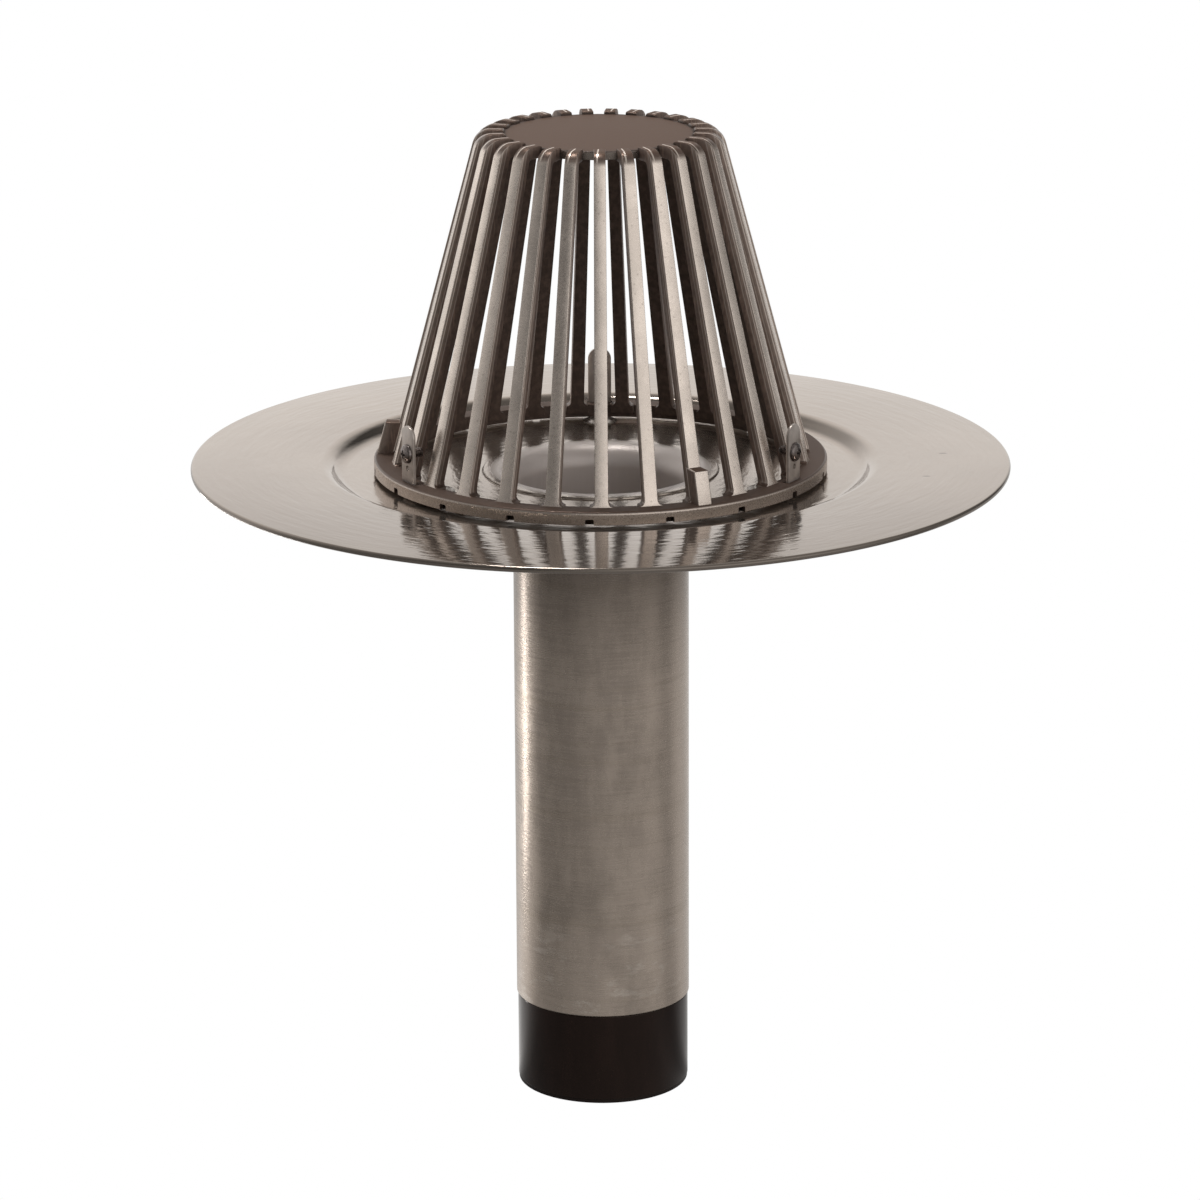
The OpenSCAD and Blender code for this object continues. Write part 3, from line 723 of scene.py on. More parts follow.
def cast_metal(tree):
    """Sand-cast aluminium: outer faces pale by painted light, brown skin on sides and tops, and painted
    shade inside.
    """
    s = sizes()
    level = Levels()
    cast, skin, disc = colours().cast, colours().skin, colours().disc
    rib_foot, ring_r, disc_r, disc_z = (
        k / MM for k in (level.ring_top_z, level.ring_r, level.disc_r, level.disc_z)
    )
    notch_top = (level.ring_z + s.notch_h) / MM
    out = tree.facing_out()
    up = tree.facing_up()
    radius = tree.radius()
    z = tree.place("Z")
    sand = tree.noise(1.3)
    coarse = tree.noise(0.30)
    patches = tree.noise(0.045, 3.0, 0.55)
    streaks = tree.noise(0.9, 3.0, 0.6, (1, 1, 0.08))
    pits = tree.cells(0.28).fall(0.08, 0.22)
    # Faces, sides and inside: painted light on the outer faces and painted shade on the sides and inside,
    # over the brown skin
    top = up.ramp(0.30, 0.72)
    light = out.ramp(0.02, 0.42) * (1.0 - top * 0.95)
    light = (light + (coarse - 0.5) * 0.16 * light).clamp()
    inner = two_shades(tree, coarse.ramp(0.35, 0.7), skin, 0.70, 1.10)
    side = tree.layers(
        two_shades(tree, coarse.ramp(0.3, 0.7), skin, 1.15, 1.6),
        (top * 0.45, shade(skin, 0.5)),
        (streaks.ramp(0.50, 0.66) * 0.50, shade(skin, 2.8)),
    )
    # Sides and inside darker than the faces by painted shade
    brown = tree.mix(out.ramp(-0.75, -0.25), inner, side)
    face = two_shades(tree, patches.ramp(0.35, 0.65), cast, 0.90, 1.08)
    face = tree.mix(sand.fall(0.30, 0.60) * 0.30, face, shade(cast, 0.55))
    # Painted highlights along the shoulders' edges, and lines along the ribs' sides
    on_rib = z.ramp(rib_foot + 0.5, rib_foot + 1.5) * radius.ramp(disc_r - 0.5, disc_r + 0.5)
    taper = (s.rib_w_foot - s.rib_w_top) / 2 / (level.rib_top_z - level.ring_top_z)
    from_edge = s.rib_w_foot / 2 / MM - (z - rib_foot) * taper - tree.beside_rib(radius)
    shoulder_glint = from_edge.band(0.15, 0.35, 0.80, 1.30) * top * on_rib * out.ramp(-0.4, -0.1)
    face_r = level.rib_face_r(level.ring_top_z) / MM
    deep = (face_r - (z - rib_foot) * math.tan(s.rib_lean) - radius) * math.cos(s.rib_lean)
    side_mask = (1.0 - light) * out.ramp(-0.25, -0.1) * on_rib * (1.0 - top)
    # Lines on the sides: a painted highlight by the outer edge, a pale band of painted light, and the
    # casting's parting line
    outer_glint = deep.band(0.75, 0.90, 1.3, 1.5)
    pale_lit_band = deep.band(1.6, 1.9, 3.6, 4.4)
    parting_line = deep.band(3.0, 3.2, 3.5, 3.7)
    lines = (outer_glint * 0.85 + parting_line * 0.22 + pale_lit_band * 0.06) * side_mask
    # Places of their own on the ring and the disc
    speckle = tree.mix(sand.ramp(0.42, 0.70) * 0.35, disc, shade(disc, 1.4))
    # Painted light on faces that look down, lifting their shade
    facing_down = up.fall(-0.8, -0.5)
    # Painted shade inside the weep notches
    notch = radius.fall(ring_r - 1.0, ring_r - 0.3) * z.fall(notch_top - 0.2, notch_top + 0.2)
    ring = radius.ramp(ring_r - 3, ring_r - 2) * z.fall(notch_top + 3, notch_top + 4)
    ring_top = up.ramp(0.7, 0.95) * z.fall(rib_foot + 0.2, rib_foot + 0.6)
    # Painted shade round the disc's edge, where the rib ends meet it
    disc_edge_shade = radius.band(disc_r - 3.2, disc_r - 1.4, disc_r + 0.2, disc_r + 1.2)
    disc_edge_shade = disc_edge_shade * z.band(disc_z - 7, disc_z - 6, disc_z + 0.3, disc_z + 1.2)
    base = tree.layers(
        tree.mix(light, brown, face),
        # Painted shade along the bevel between face and side
        (out.band(0.30, 0.50, 0.70, 0.90) * 0.5, skin),
        (pits * 0.25, shade(skin, 0.8)),
        (lines, shade(cast, 1.1)),
        (shoulder_glint * 0.85, shade(cast, 1.15)),
        (up.ramp(0.70, 0.97) * out.ramp(-1.0, -0.4) * (1.0 - shoulder_glint), speckle),
        (notch * out.ramp(-0.5, 0.0) * up.ramp(-0.8, -0.5), shade(skin, 0.25)),
        (facing_down, shade(cast, 0.8)),
        (ring * 0.36, shade(skin, 1.2)),
        (ring_top * (0.45 + coarse * 0.4), shade(skin, 0.75)),
        (disc_edge_shade * 0.75, shade(skin, 0.4)),
    )
    flat_top = up.ramp(0.90, 0.995)
    rough = 0.50 - light * 0.22 - top * 0.16 + flat_top * 0.30 - shoulder_glint * 0.10 + (sand - 0.5) * 0.16
    metallic = light * 0.80 + 0.12 + (top - flat_top) * 0.35 + lines * 0.15 + shoulder_glint * 0.3
    relief = tree.bump(coarse, 0.14, 0.00045, tree.bump(sand, 0.14, 0.00016))
    tree.surface(Base_Color=base, Roughness=rough, Metallic=metallic, Specular_IOR_Level=0.25, Normal=relief)


def strip_metal(tree):
    """Rolled strip, faintly brushed along its length."""
    brush = tree.noise(1.6, 3.0, 0.6, (1, 1, 0.06))
    smear = tree.noise(0.16)
    base = two_shades(tree, smear.ramp(0.35, 0.7), colours().strip, 0.85, 1.08)
    rough = 0.36 + (brush - 0.5) * 0.16 + (smear - 0.5) * 0.14
    tree.surface(Base_Color=base, Roughness=rough, Metallic=0.75, Normal=tree.bump(brush, 0.15, 0.0001))


def rivet_metal(tree):
    smear = tree.noise(0.35)
    base = two_shades(tree, smear.ramp(0.35, 0.7), colours().rivet, 0.85, 1.08)
    tree.surface(Base_Color=base, Roughness=0.28 + (smear - 0.5) * 0.2, Metallic=1.0)


def dark_steel(tree):
    wear = tree.noise(0.7, 4.0)
    base = two_shades(tree, wear.ramp(0.4, 0.75), colours().screw, 0.75, 1.4)
    tree.surface(Base_Color=base, Roughness=0.26 + (wear - 0.5) * 0.2, Metallic=1.0)


def plated_steel(tree):
    wear = tree.noise(0.6)
    tree.surface(Base_Color=colours().plated, Roughness=0.28 + (wear - 0.5) * 0.2, Metallic=1.0)


def brass(tree):
    wear = tree.noise(0.6)
    tree.surface(Base_Color=colours().brass, Roughness=0.30 + (wear - 0.5) * 0.2, Metallic=1.0)


def rubber(tree):
    """Black rubber with a soft, slightly hazy gloss."""
    haze = tree.noise(0.10, 4.0, 0.6, (1, 1, 0.3))
    fine = tree.noise(1.2, 2.0, 0.5)
    tree.surface(
        Base_Color=two_shades(tree, haze.ramp(0.35, 0.7), colours().rubber, 1, 1.6),
        Roughness=0.14 + (haze - 0.5) * 0.12 + (fine - 0.5) * 0.06,
        Specular_IOR_Level=0.22,
        Specular_Tint=(1, 0.80, 0.70),
        Normal=tree.bump(haze + fine * 0.2, 0.12, 0.0004),
    )


def moulding(tree):
    fine = tree.noise(1.6, 2.0, 0.5)
    tree.surface(
        Base_Color=two_shades(tree, fine.ramp(0.4, 0.7), colours().moulding, 1, 1.3),
        Roughness=0.30 + (fine - 0.5) * 0.12,
        Specular_IOR_Level=0.1,
        Normal=tree.bump(fine, 0.10, 0.0001),
    )


# ---- operators --------------------------------------------------------------


class DRAIN_OT_body(bpy.types.Operator):
    """Builds the one-piece flange, sump, throat and stem"""

    bl_idname = "drain.body"
    bl_label = "Drain body"

    def execute(self, context):
        s = sizes()
        level = Levels()
        half_sheet = s.sheet_t / 2 * 0.96
        fold = s.sump_bend_r * math.tan(level.bend_a / 2)
        under_deck_z = level.deck_z - s.sheet_t
        under_floor_z = level.floor_z - s.sheet_t
        points = [
            (level.flange_r, level.deck_z, half_sheet),
            (level.mouth_r - fold, level.deck_z, s.sump_bend_r * BEND_SHARE),
            (level.sump_r + fold, level.floor_z, s.sump_bend_r * BEND_SHARE),
            (level.lip_r + 0.3 * MM, level.floor_z, 0.45 * MM),
            (level.lip_r, level.lip_z, s.lip_h * 0.6),
            (level.bore_r, level.lip_z, s.throat_r),
            (level.bore_r, level.stem_end_z, 0.25 * MM),
            (level.stem_r - s.stem_chamfer, level.stem_end_z, 0.2 * MM),
            (level.stem_r, level.stem_end_z + s.stem_chamfer, 0.3 * MM),
            (level.stem_r, under_floor_z, s.throat_r - s.sheet_t),
            (level.sump_r + fold, under_floor_z, (s.sump_bend_r + s.sheet_t) * UNDER_BEND_SHARE),
            (level.mouth_r - fold, under_deck_z, (s.sump_bend_r - s.sheet_t) * BEND_SHARE),
            (level.flange_r, under_deck_z, half_sheet),
        ]
        piece = make_piece("drain_body_dressed", turned(points))
        dress(piece, "drain", "drain_body", finish_material("spun", spun_metal))
        return {"FINISHED"}


class DRAIN_OT_strainer(bpy.types.Operator):
    """Builds the cast strainer: ribs, ring, top disc and lugs"""

    bl_idname = "drain.strainer"
    bl_label = "Strainer dome"

    def rib(self, s, level):
        """One rib along +X: its side outline with a round shoulder, tapered, flared and rounded."""
        depth_x = s.rib_depth / math.cos(s.rib_lean)
        foot_z = level.ring_top_z - RIB_SINK * s.ring_h
        face_foot = level.rib_face_r(foot_z)
        face_top = level.rib_face_r(level.rib_top_z)
        under_z = level.rib_top_z - s.rib_depth
        under_r = level.rib_face_r(under_z) - depth_x
        step_r = level.disc_r - s.nub_h
        step_z = level.disc_z - 0.3 * MM
        end_r = level.disc_r - 3 * MM
        points = [
            (face_foot, foot_z, 0),
            (face_top, level.rib_top_z, s.shoulder_r),
            (step_r, level.rib_top_z, s.nub_h * 0.95),
            (step_r, step_z, 0),
            (end_r, step_z, 0),
            (end_r, under_z, 0),
            (under_r, under_z, s.shoulder_r - s.rib_depth),
            (face_foot - depth_x, foot_z, 0),
        ]
        bm = extruded(points, s.rib_w_foot)
        fillet_r = s.rib_fillet_r
        slice_level(bm, [level.ring_top_z + fillet_r * k for k in (0.0, 0.06, 0.16, 0.3, 0.5, 0.75, 1.0)])
        slice_level(bm, [level.ring_top_z + 40 * MM, level.ring_top_z + 110 * MM])
        # Edges inside the disc or the ring stay sharp
        inside = [v for v in bm.verts if v.co.x < end_r + 10 * TINY or v.co.z < foot_z + 10 * TINY]
        rim = [e for e in corner_edges(bm) if not all(v in inside for v in e.verts)]
        round_edges(bm, rim, s.rib_edge_r, 3)
        span = level.rib_top_z - level.ring_top_z
        for vert in bm.verts:
            up = min(max((vert.co.z - level.ring_top_z) / span, 0), 1)
            half = (s.rib_w_foot + (s.rib_w_top - s.rib_w_foot) * up) / 2
            rise = min(max((vert.co.z - level.ring_top_z) / fillet_r, 0), 1)
            flare = fillet_r * (1 - math.sqrt(1 - (1 - rise) ** 2))
            share = vert.co.y / (s.rib_w_foot / 2)
            vert.co.y = half * share + math.copysign(flare * abs(share) ** 0.5, share)
        return bm

    def lug(self, s, level):
        """A casting lug along +X, on the ring and against a rib."""
        top_z = level.ring_top_z + s.lug_h
        low_z = level.ring_top_z - 1.0 * MM
        back = s.rib_depth / 2
        points = [
            (level.rib_r - back, low_z, 0),
            (level.rib_r + s.lug_reach, low_z, 0),
            (level.rib_r + s.lug_reach, level.ring_top_z, 0),
            (level.rib_face_r(top_z) + s.lug_reach, top_z, 0.8 * MM),
            (level.rib_face_r(top_z) - back, top_z, 0),
        ]
        bm = extruded(points, s.lug_w)
        round_edges(bm, corner_edges(bm), 0.7 * MM, 3)
        return bm

    def slot_cutter(self, s, level):
        inner = level.bracket_face_r - s.bracket_t - s.bracket_bend_r - s.slot_clear
        outer = level.bracket_face_r + s.slot_clear
        width = s.bracket_w + 2 * s.slot_clear
        bm = block(inner, outer, level.ring_z - s.ring_h, level.ring_top_z + s.ring_h, width)
        upright = [e for e in bm.edges if abs(e.verts[0].co.z - e.verts[1].co.z) > s.ring_h]
        round_edges(bm, upright, 0.5 * MM, 3)
        return bm

    def notch_cutter(self, s, level):
        inner = level.ring_r - s.notch_depth
        outer = level.ring_r + s.notch_depth
        bm = block(inner, outer, level.ring_z - s.notch_h, level.ring_z + s.notch_h, s.notch_w)
        radial = [e for e in bm.edges if all(v.co.z > level.ring_z for v in e.verts)]
        radial = [e for e in radial if abs(e.verts[0].co.x - e.verts[1].co.x) > s.notch_depth]
        round_edges(bm, radial, 0.9 * MM, 4)
        return bm

    def execute(self, context):
        s = sizes()
        level = Levels()
        edge = 0.5 * MM
        slots = copies(self.slot_cutter(s, level), evenly_round(BRACKET_AZ, BRACKET_COUNT))
        notches = copies(self.notch_cutter(s, level), evenly_round(math.degrees(s.notch_az), s.notch_count))
        ring_outline = [
            (level.ring_bore_r, level.ring_z, edge),
            (level.ring_r, level.ring_z, edge),
            (level.ring_r, level.ring_top_z, s.ring_edge_r),
            (level.ring_bore_r, level.ring_top_z, edge),
        ]
        ring = make_piece("strainer_ring", turned(ring_outline))
        cut(ring, [make_piece("slots", slots), make_piece("notches", notches)])
        cage = make_piece("strainer_cage", copies(self.rib(s, level), evenly_round(0, s.rib_count)))
        disc_under_z = level.disc_z - s.disc_t
        disc_outline = [
            (0, level.disc_z, 0),
            (0, disc_under_z, 0),
            (level.disc_r, disc_under_z, edge),
            (level.disc_r, level.disc_z, 0.7 * MM),
        ]
        disc = make_piece("strainer_disc", turned_open(disc_outline, DISC_STEPS))
        lug_az = LUG_RIB * 360 / s.rib_count
        lugs = make_piece("strainer_lugs", copies(self.lug(s, level), evenly_round(lug_az, LUG_COUNT)))
        for piece in (ring, cage, disc, lugs):
            dress(piece, "strainer", "strainer_dome", finish_material("cast", cast_metal))
        return {"FINISHED"}


class DRAIN_OT_brackets(bpy.types.Operator):
    """Builds the three bent brackets with their holes"""

    bl_idname = "drain.brackets"
    bl_label = "Brackets"

    def strip(self, s, level):
        """A strip along +X that lies on the sump floor and bends up, with round ends."""
        half = s.bracket_w / 2
        bend_x = level.bracket_face_r - s.bracket_t - s.bracket_bend_r
        foot_end = level.rivet_r - half
        low = level.floor_z
        centre = Vector((bend_x, 0, low + s.bracket_t + s.bracket_bend_r))
        bm = block(foot_end, bend_x, low, low + s.bracket_t, s.bracket_w)
        end = [f for f in bm.faces if all(abs(v.co.x - bend_x) < TINY for v in f.verts)]
        turn = bmesh.ops.spin(
            bm, geom=end, cent=centre, axis=(0, -1, 0), angle=math.pi / 2, steps=7, use_duplicate=False
        )
        bmesh.ops.delete(bm, geom=end, context="FACES_ONLY")
        last = [g for g in turn["geom_last"] if isinstance(g, bmesh.types.BMFace)]
        up = bmesh.ops.extrude_face_region(bm, geom=last)["geom"]
        bmesh.ops.delete(bm, geom=last, context="FACES_ONLY")
        bmesh.ops.translate(bm, vec=(0, 0, level.bracket_top_z - centre.z), verts=verts_of(up))
        bmesh.ops.recalc_face_normals(bm, faces=bm.faces)
        corners = [e for e in bm.edges if self.is_corner(e, foot_end, level.bracket_top_z)]
        round_edges(bm, corners, half * ROUND_END_SHARE, 10)
        round_edges(bm, corner_edges(bm), 0.35 * MM)
        return bm

    @staticmethod
    def is_corner(edge, foot_end, top_z):
        """Edges through the strip's thickness at its two ends."""
        a, b = (v.co for v in edge.verts)
        at_foot = all(abs(k.x - foot_end) < TINY for k in (a, b))
        at_top = all(abs(k.z - top_z) < TINY for k in (a, b))
        return (at_foot or at_top) and abs(a.y - b.y) < TINY

    def hole(self, s, level, drop, diameter):
        """A short bar along X, to cut a round hole through the upright."""
        bm = moved_by(round_bar(diameter / 2, 4 * s.bracket_t), ALONG_X)
        return moved_out(bm, level.bracket_face_r - s.bracket_t / 2, level.bracket_top_z - drop)

    def execute(self, context):
        s = sizes()
        level = Levels()
        holes = ((s.retainer_drop, s.retainer_d), (s.retainer_drop + s.small_hole_drop, s.small_hole_d))
        for i, turn_to in enumerate(evenly_round(BRACKET_AZ, BRACKET_COUNT)):
            piece = make_piece(f"bracket_{i + 1}_dressed", moved_by(self.strip(s, level), turn_to))
            bars = [moved_by(self.hole(s, level, drop, diameter), turn_to) for drop, diameter in holes]
            cut(piece, [make_piece("hole", bar) for bar in bars])
            dress(piece, "drain", f"bracket_{i + 1}", finish_material("strip", strip_metal))
        return {"FINISHED"}


def threaded_bar(radius, from_z, to_z, pitch):
    """A shank with a spun helical thread and a pointed start, standing on the Z axis."""
    depth = 0.6 * pitch
    turns = (to_z - from_z) / pitch - 1
    crest = pitch / 8
    profile = [
        (radius - depth, 0),
        (radius, pitch / 2 - crest / 2),
        (radius, pitch / 2 + crest / 2),
        (radius - depth, pitch),
    ]
    bm = bmesh.new()
    verts = [bm.verts.new((x, 0, from_z + z)) for x, z in profile]
    edges = [bm.edges.new(pair) for pair in zip(verts, verts[1:])]
    bmesh.ops.spin(
        bm, geom=verts + edges, cent=(0, 0, 0), axis=(0, 0, 1), dvec=(0, 0, pitch / THREAD_STEPS),
        angle=math.tau * turns, steps=round(THREAD_STEPS * turns), use_duplicate=False,
    )
    inner = radius - depth * 0.9
    outline = [
        (0, to_z, 0),
        (0, from_z, 0),
        (inner - depth, from_z, 0),
        (inner, from_z + depth, 0),
        (inner, to_z, 0),
    ]
    core = turned_open(outline, 48)
    mesh = bpy.data.meshes.new("core")
    core.to_mesh(mesh)
    core.free()
    absorb(bm, mesh)
    return bm


class DRAIN_OT_fasteners(bpy.types.Operator):
    """Builds the rivets and the retaining screws of the brackets"""

    bl_idname = "drain.fasteners"
    bl_label = "Rivets and retaining screws"

    def rivet(self, s, level):
        """A wide flat-domed head with its mandrel's end, a shank and a swelled tail."""
        base_z = level.floor_z + s.bracket_t
        under_z = level.floor_z - s.sheet_t
        top_z = base_z + s.rivet_head_h
        pit_z = top_z - s.rivet_head_h / 3
        tail_z = RIVET_BOX[0].z
        head_r = s.rivet_head_d / 2
        shank_r = s.rivet_d / 2
        tail_r = s.rivet_tail_d / 2
        pit_r = s.rivet_d / 4
        rim_h = s.rivet_head_h * 0.35
        swell = 0.9 * MM
        outline = [
            (0, pit_z, 0),
            (pit_r * 0.8, pit_z, 0.1 * MM),
            (pit_r, top_z - s.rivet_head_h * 0.1, 0.1 * MM),
            (head_r * 0.55, top_z - 0.15 * MM, 4 * MM),
            (head_r * 0.93, base_z + rim_h * 1.5, 1.2 * MM),
            (head_r, base_z + rim_h, 0.2 * MM),
            (head_r, base_z, 0.1 * MM),
            (shank_r, base_z, 0),
            (shank_r, under_z, 0),
            (tail_r, under_z, swell * 0.6),
            (tail_r, tail_z, swell),
            (0, tail_z, 0),
        ]
        return moved_out(turned_open(outline), level.rivet_r)

    def pan_head(self, s):
        """A pan head that stands on the Z axis."""
        head_r = s.retainer_head_d / 2
        top = s.retainer_head_h
        outline = [
            (0, top, 0),
            (head_r * 0.45, top - 0.05 * MM, 3 * MM),
            (head_r * 0.9, top * 0.62, 1.6 * MM),
            (head_r, top * 0.1, 0.3 * MM),
            (head_r * 0.96, 0, 0.1 * MM),
            (0, 0, 0),
        ]
        return turned_open(outline)

    def cross_recess(self, s):
        """Two crossing bars, to cut a recess in a pan head."""
        half_l = s.retainer_head_d / 2.2 / 2
        low = s.retainer_head_h / 2
        high = s.retainer_head_h * 2
        outline = [(-half_l, low, 0.6 * MM), (half_l, low, 0.6 * MM), (half_l, high, 0), (-half_l, high, 0)]
        bars = [extruded(outline, s.retainer_head_d / 9) for side in range(2)]
        moved_by(bars[1], Matrix.Rotation(math.pi / 2, 4, "Z"))
        return [make_piece("recess", bar) for bar in bars]

    def execute(self, context):
        s = sizes()
        level = Levels()
        metal = finish_material("rivet", rivet_metal)
        dark = finish_material("dark_screw", dark_steel)
        for i, turn_to in enumerate(evenly_round(BRACKET_AZ, BRACKET_COUNT)):
            piece = make_piece(f"bracket_rivet_{i + 1}_dressed", moved_by(self.rivet(s, level), turn_to))
            dress(piece, "drain", f"bracket_rivet_{i + 1}", metal)
            place = turn_to @ Matrix.Translation((level.bracket_face_r, 0, level.retainer_z)) @ ALONG_X
            head = make_piece(f"retaining_screw_{i + 1}_head", self.pan_head(s))
            cut(head, self.cross_recess(s))
            head.data.transform(place)
            shank = threaded_bar(s.retainer_d / 2, -s.bracket_t - SCREW_END, 0, s.thread_pitch)
            shank = make_piece(f"retaining_screw_{i + 1}_shank", moved_by(shank, place))
            for part in (head, shank):
                dress(part, "drain", f"retaining_screw_{i + 1}", dark)
        return {"FINISHED"}


class DRAIN_OT_seal(bpy.types.Operator):
    """Builds the compression seal: rings, sleeve, inserts and screws"""

    bl_idname = "drain.seal"
    bl_label = "Compression seal"

    def upper_ring(self, s, level, edge):
        outline = [
            (level.seal_bore_r, level.seal_z, edge),
            (level.bore_r, level.seal_z, edge),
            (level.bore_r, level.upper_z, 1.0 * MM),
            (level.seal_bore_r, level.upper_z, edge),
        ]
        return turned(outline, 192)

    def sleeve(self, s, level, edge):
        """The sleeve with a rebate for the hub, sliced level so that it squashes evenly."""
        rebate_r = level.hub_r + s.hub_clear
        outline = [
            (level.seal_bore_r, level.hub_z, edge),
            (rebate_r, level.hub_z, 0),
            (rebate_r, s.rim_h, edge),
            (level.sleeve_r, s.rim_h, edge),
            (level.sleeve_r, level.seal_z, s.sleeve_edge_r),
            (level.seal_bore_r, level.seal_z, edge),
        ]
        bm = turned(outline, SEAL_STEPS)
        slice_level(bm, [level.hub_z + (level.seal_z - level.hub_z) * k / 8 for k in range(1, 8)])
        return bm

    def lower_ring(self, s, level, edge):
        outline = [
            (level.seal_bore_r, 0, edge),
            (RIM_BOX[1].x, 0, 0.55 * MM),
            (RIM_BOX[1].x, s.rim_h, 0.3 * MM),
            (level.hub_r, s.rim_h, 0),
            (level.hub_r, level.hub_z, edge),
            (level.seal_bore_r, level.hub_z, edge),
        ]
        return turned(outline, SEAL_STEPS)

    def insert(self, s, level):
        bore_r = s.seal_screw_d / 2 + 0.05 * MM
        outline = [
            (bore_r, s.rim_h / 2, 0.1 * MM),
            (s.insert_d / 2, s.rim_h / 2, 0.1 * MM),
            (s.insert_d / 2, level.hub_z, 0.2 * MM),
            (bore_r, level.hub_z, 0.3 * MM),
        ]
        return moved_out(turned(outline, SMALL_STEPS), level.seal_screw_r)

    def screw(self, s, level):
        """A threaded screw with a hexagon socket in its head."""
        bm = threaded_bar(s.seal_screw_d / 2, SEAL_SCREW_BOX[0].z, level.upper_z, s.thread_pitch)
        head_r = s.seal_head_d / 2
        top = level.upper_z + s.seal_head_h
        low = level.upper_z
        outline = [(0, top, 0), (0, low, 0), (head_r, low, 0.1 * MM), (head_r, top, 0.5 * MM)]
        head = make_piece("seal_screw_head", turned_open(outline))
        socket = bmesh.new()
        socket_r = s.socket_af / 2 / math.cos(math.pi / 6)
        bmesh.ops.create_cone(
            socket, cap_ends=True, segments=6, radius1=socket_r, radius2=socket_r, depth=2 * s.socket_depth
        )
        cut(head, [make_piece("socket", moved_out(socket, 0, top))])
        absorb(bm, head.data)
        return moved_out(bm, level.seal_screw_r)

    def execute(self, context):
        s = sizes()
        level = Levels()
        edge = 0.4 * MM
        black = finish_material("moulding", moulding)
        upper = make_piece("seal_upper_ring_dressed", self.upper_ring(s, level, edge))
        dress(upper, "drain", "seal_upper_ring", black)
        sleeve = make_piece("seal_sleeve_dressed", self.sleeve(s, level, edge))
        dress(sleeve, "drain", "seal_sleeve", finish_material("rubber", rubber))
        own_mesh(sleeve)
        lower = make_piece("seal_lower_ring_dressed", self.lower_ring(s, level, edge))
        turns = evenly_round(SEAL_SCREW_AZ, SEAL_SCREW_COUNT)
        bar = round_bar(s.seal_screw_d / 2 + s.screw_clear, 4 * level.hub_z)
        cut(lower, [make_piece("screw_holes", copies(moved_out(bar, level.seal_screw_r), turns))])
        dress(lower, "seal_drive", "seal_lower_ring", black)
        yellow = finish_material("brass", brass)
        plated = finish_material("plated", plated_steel)
        for i, turn_to in enumerate(turns):
            insert = make_piece(f"seal_insert_{i + 1}_dressed", moved_by(self.insert(s, level), turn_to))
            dress(insert, "seal_drive", f"seal_insert_{i + 1}", yellow)
            screw = make_piece(f"seal_screw_{i + 1}_dressed", moved_by(self.screw(s, level), turn_to))
            dress(screw, "drain", f"seal_screw_{i + 1}", plated)
        return {"FINISHED"}


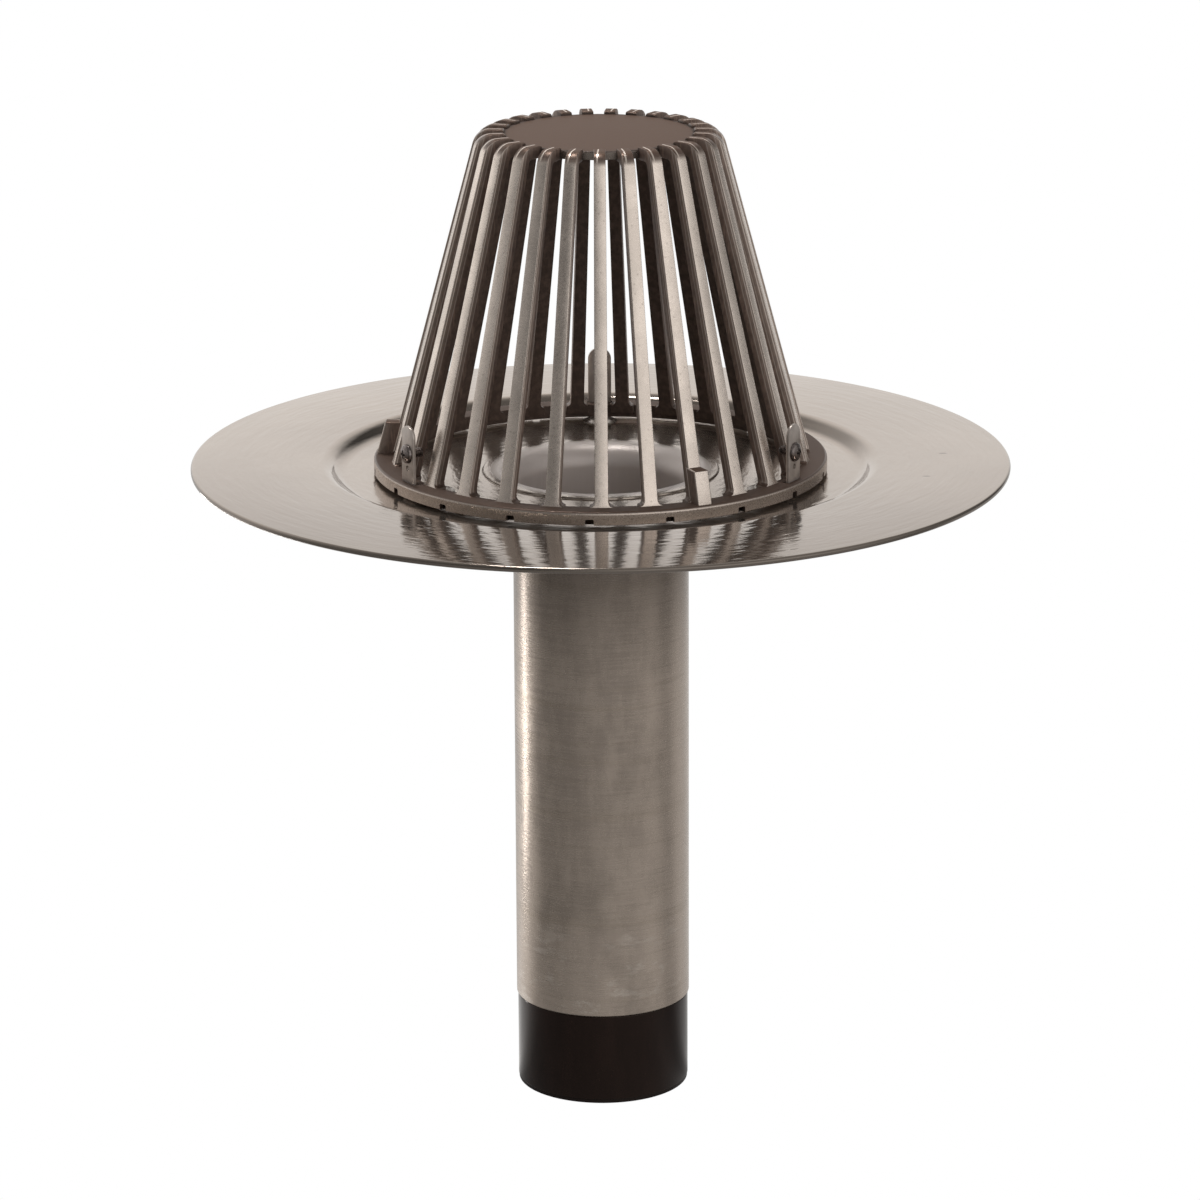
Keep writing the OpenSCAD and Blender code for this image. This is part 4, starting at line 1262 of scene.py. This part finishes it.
class DRAIN_OT_stage(bpy.types.Operator):
    """Sets the floor, the light and the camera"""

    bl_idname = "drain.stage"
    bl_label = "Stage"

    # Brightness of the room round the drain: azimuth from the front, positive to the right, and level
    RING_OF_LIGHT = (
        (-180, 1.0), (-112, 1.0), (-92, 0.54), (-72, 0.36), (-50, 0.24),
        (-20, 0.10), (-6, 0.54), (10, 0.92), (26, 1.05), (58, 0.98),
        (80, 0.64), (102, 0.40), (116, 0.24), (146, 0.12), (162, 0.92),
        (180, 1.0),
    )

    # The same for what upright surfaces mirror of the floor
    FLOOR_GLOW = (
        (-180, 0.70), (-148, 0.72), (-138, 1.0), (-112, 1.0), (-100, 0.64),
        (-86, 0.34), (-70, 0.30), (-20, 0.40), (10, 0.50), (70, 0.50),
        (88, 0.28), (98, 0.30), (114, 0.58), (136, 0.58), (180, 1.0),
    )

    # Name, place, height that it faces, width, height, watts, and whether metal mirrors it
    LAMPS = (
        ("left_strip", (-0.34, 0.178, 0.14), 0.14, 0.027, 0.27, 0.28, True),
        ("left_rear", (-1.6, 1.2, 1.3), 0.4, 0.7, 1.6, 12, False),
        ("right_front", (1.7, -1.5, 0.9), 0.4, 0.9, 1.2, 14, False),
        ("overhead", (-0.2, 0.5, 2.0), 0.4, 0.3, 0.3, 9, True),
    )

    @staticmethod
    def light_round(tree, place, levels):
        """A colour by the azimuth of a place or a direction, from azimuths in degrees and levels."""
        behind = tree.component(place, "Y") * -1.0
        turn = tree.component(place, "X").math("ARCTAN2", behind) / math.tau + 0.5
        stops = [(0.5 + azimuth / 360, (k, k * 0.985, k * 0.965)) for azimuth, k in levels]
        return tree.node("ShaderNodeValToRGB", {"stops": stops}, [turn])

    def floor(self):
        """A floor that is lit like paper, but looks white, and glows by azimuth where metal mirrors it."""
        bm = bmesh.new()
        bmesh.ops.create_grid(bm, x_segments=8, y_segments=8, size=FLOOR_HALF)
        floor = make_piece("floor", moved_out(bm, 0, -0.2 * MM))
        material = bpy.data.materials.new("floor")
        tree = Tree(material)
        seen, mirrored, through = (
            tree.node("ShaderNodeLightPath", output=f"Is {kind} Ray")
            for kind in ("Camera", "Glossy", "Transmission")
        )
        place = tree.node("ShaderNodeTexCoord", output="Object")
        glow = self.light_round(tree, place, self.FLOOR_GLOW)
        white = tree.mix(mirrored * (1.0 - seen), (1, 1, 1), glow)
        glowing = tree.node("ShaderNodeEmission", None, {"Color": white, "Strength": 1.0})
        paper = tree.node("ShaderNodeBsdfDiffuse", None, {"Color": (0.8, 0.8, 0.8)})
        share = (seen + mirrored + through).clamp()
        mixed = tree.node("ShaderNodeMixShader", None, [share, paper, glowing])
        tree.node("ShaderNodeOutputMaterial", None, {"Surface": mixed})
        floor.data.materials.append(material)

    def world(self):
        """A room that is light and dark by azimuth, with a grey ceiling."""
        world = bpy.data.worlds.new("sky")
        bpy.context.scene.world = world
        tree = Tree(world)
        aim = tree.node("ShaderNodeTexCoord", output="Generated")
        ring = self.light_round(tree, aim, self.RING_OF_LIGHT)
        tint = tree.mix(tree.component(aim, "Z").ramp(0.52, 0.85), ring, CEILING)
        back_light = tree.node("ShaderNodeBackground", None, {"Color": tint, "Strength": 1.0})
        tree.node("ShaderNodeOutputWorld", None, {"Surface": back_light})

    def lamp(self, name, place, target_z, width, height, watts, is_mirrored):
        data = bpy.data.lights.new(name, "AREA")
        data.shape = "RECTANGLE"
        data.size = width
        data.size_y = height
        data.energy = watts
        data.color = LAMP_COLOUR
        lamp = bpy.data.objects.new(name, data)
        lamp.location = place
        aim = Vector((0, 0, target_z)) - Vector(place)
        lamp.rotation_euler = aim.to_track_quat("-Z", "Y").to_euler()
        lamp.visible_camera = False
        lamp.visible_glossy = is_mirrored
        bpy.context.scene.collection.objects.link(lamp)

    def camera(self):
        data = bpy.data.cameras.new("camera")
        data.sensor_width = 36.0
        data.lens = 171.59
        data.clip_end = 60.0
        camera = bpy.data.objects.new("camera", data)
        camera.location = (-0.0096, -3.0084, Levels().deck_z + 0.7794)
        yaw = Matrix.Rotation(math.radians(-0.17), 3, "Z")
        pitch = Matrix.Rotation(math.radians(90 - 15.94), 3, "X")
        roll = Matrix.Rotation(math.radians(-0.26), 3, "Z")
        camera.rotation_euler = (yaw @ pitch @ roll).to_euler()
        bpy.context.scene.collection.objects.link(camera)
        bpy.context.scene.camera = camera

    def execute(self, context):
        self.floor()
        self.world()
        for lamp in self.LAMPS:
            self.lamp(*lamp)
        self.camera()
        context.scene.view_settings.view_transform = "Standard"
        return {"FINISHED"}

OPERATORS = (
    DRAIN_OT_body,
    DRAIN_OT_strainer,
    DRAIN_OT_brackets,
    DRAIN_OT_fasteners,
    DRAIN_OT_seal,
    DRAIN_OT_stage,
)


class DRAIN_PT_panel(bpy.types.Panel):
    """Lists the pieces of the roof drain"""

    bl_idname = "DRAIN_PT_panel"
    bl_label = "Roof drain"
    bl_space_type = "VIEW_3D"
    bl_region_type = "UI"
    bl_category = "Roof drain"

    def draw(self, context):
        column = self.layout.column()
        for operator in OPERATORS:
            column.operator(operator.bl_idname)
        for group in (context.scene.drain_sizes, context.scene.drain_colours):
            box = self.layout.box()
            for name in group.__annotations__:
                box.prop(group, name)


CLASSES = (DrainSizes, DrainColours, *OPERATORS, DRAIN_PT_panel)


def register():
    for cls in CLASSES:
        bpy.utils.register_class(cls)
    bpy.types.Scene.drain_sizes = bpy.props.PointerProperty(type=DrainSizes)
    bpy.types.Scene.drain_colours = bpy.props.PointerProperty(type=DrainColours)


def unregister():
    del bpy.types.Scene.drain_colours
    del bpy.types.Scene.drain_sizes
    for cls in reversed(CLASSES):
        bpy.utils.unregister_class(cls)


def main():
    register()
    bpy.ops.drain.body()
    bpy.ops.drain.strainer()
    bpy.ops.drain.brackets()
    bpy.ops.drain.fasteners()
    bpy.ops.drain.seal()
    bpy.ops.drain.stage()


if __name__ == "__main__":
    main()
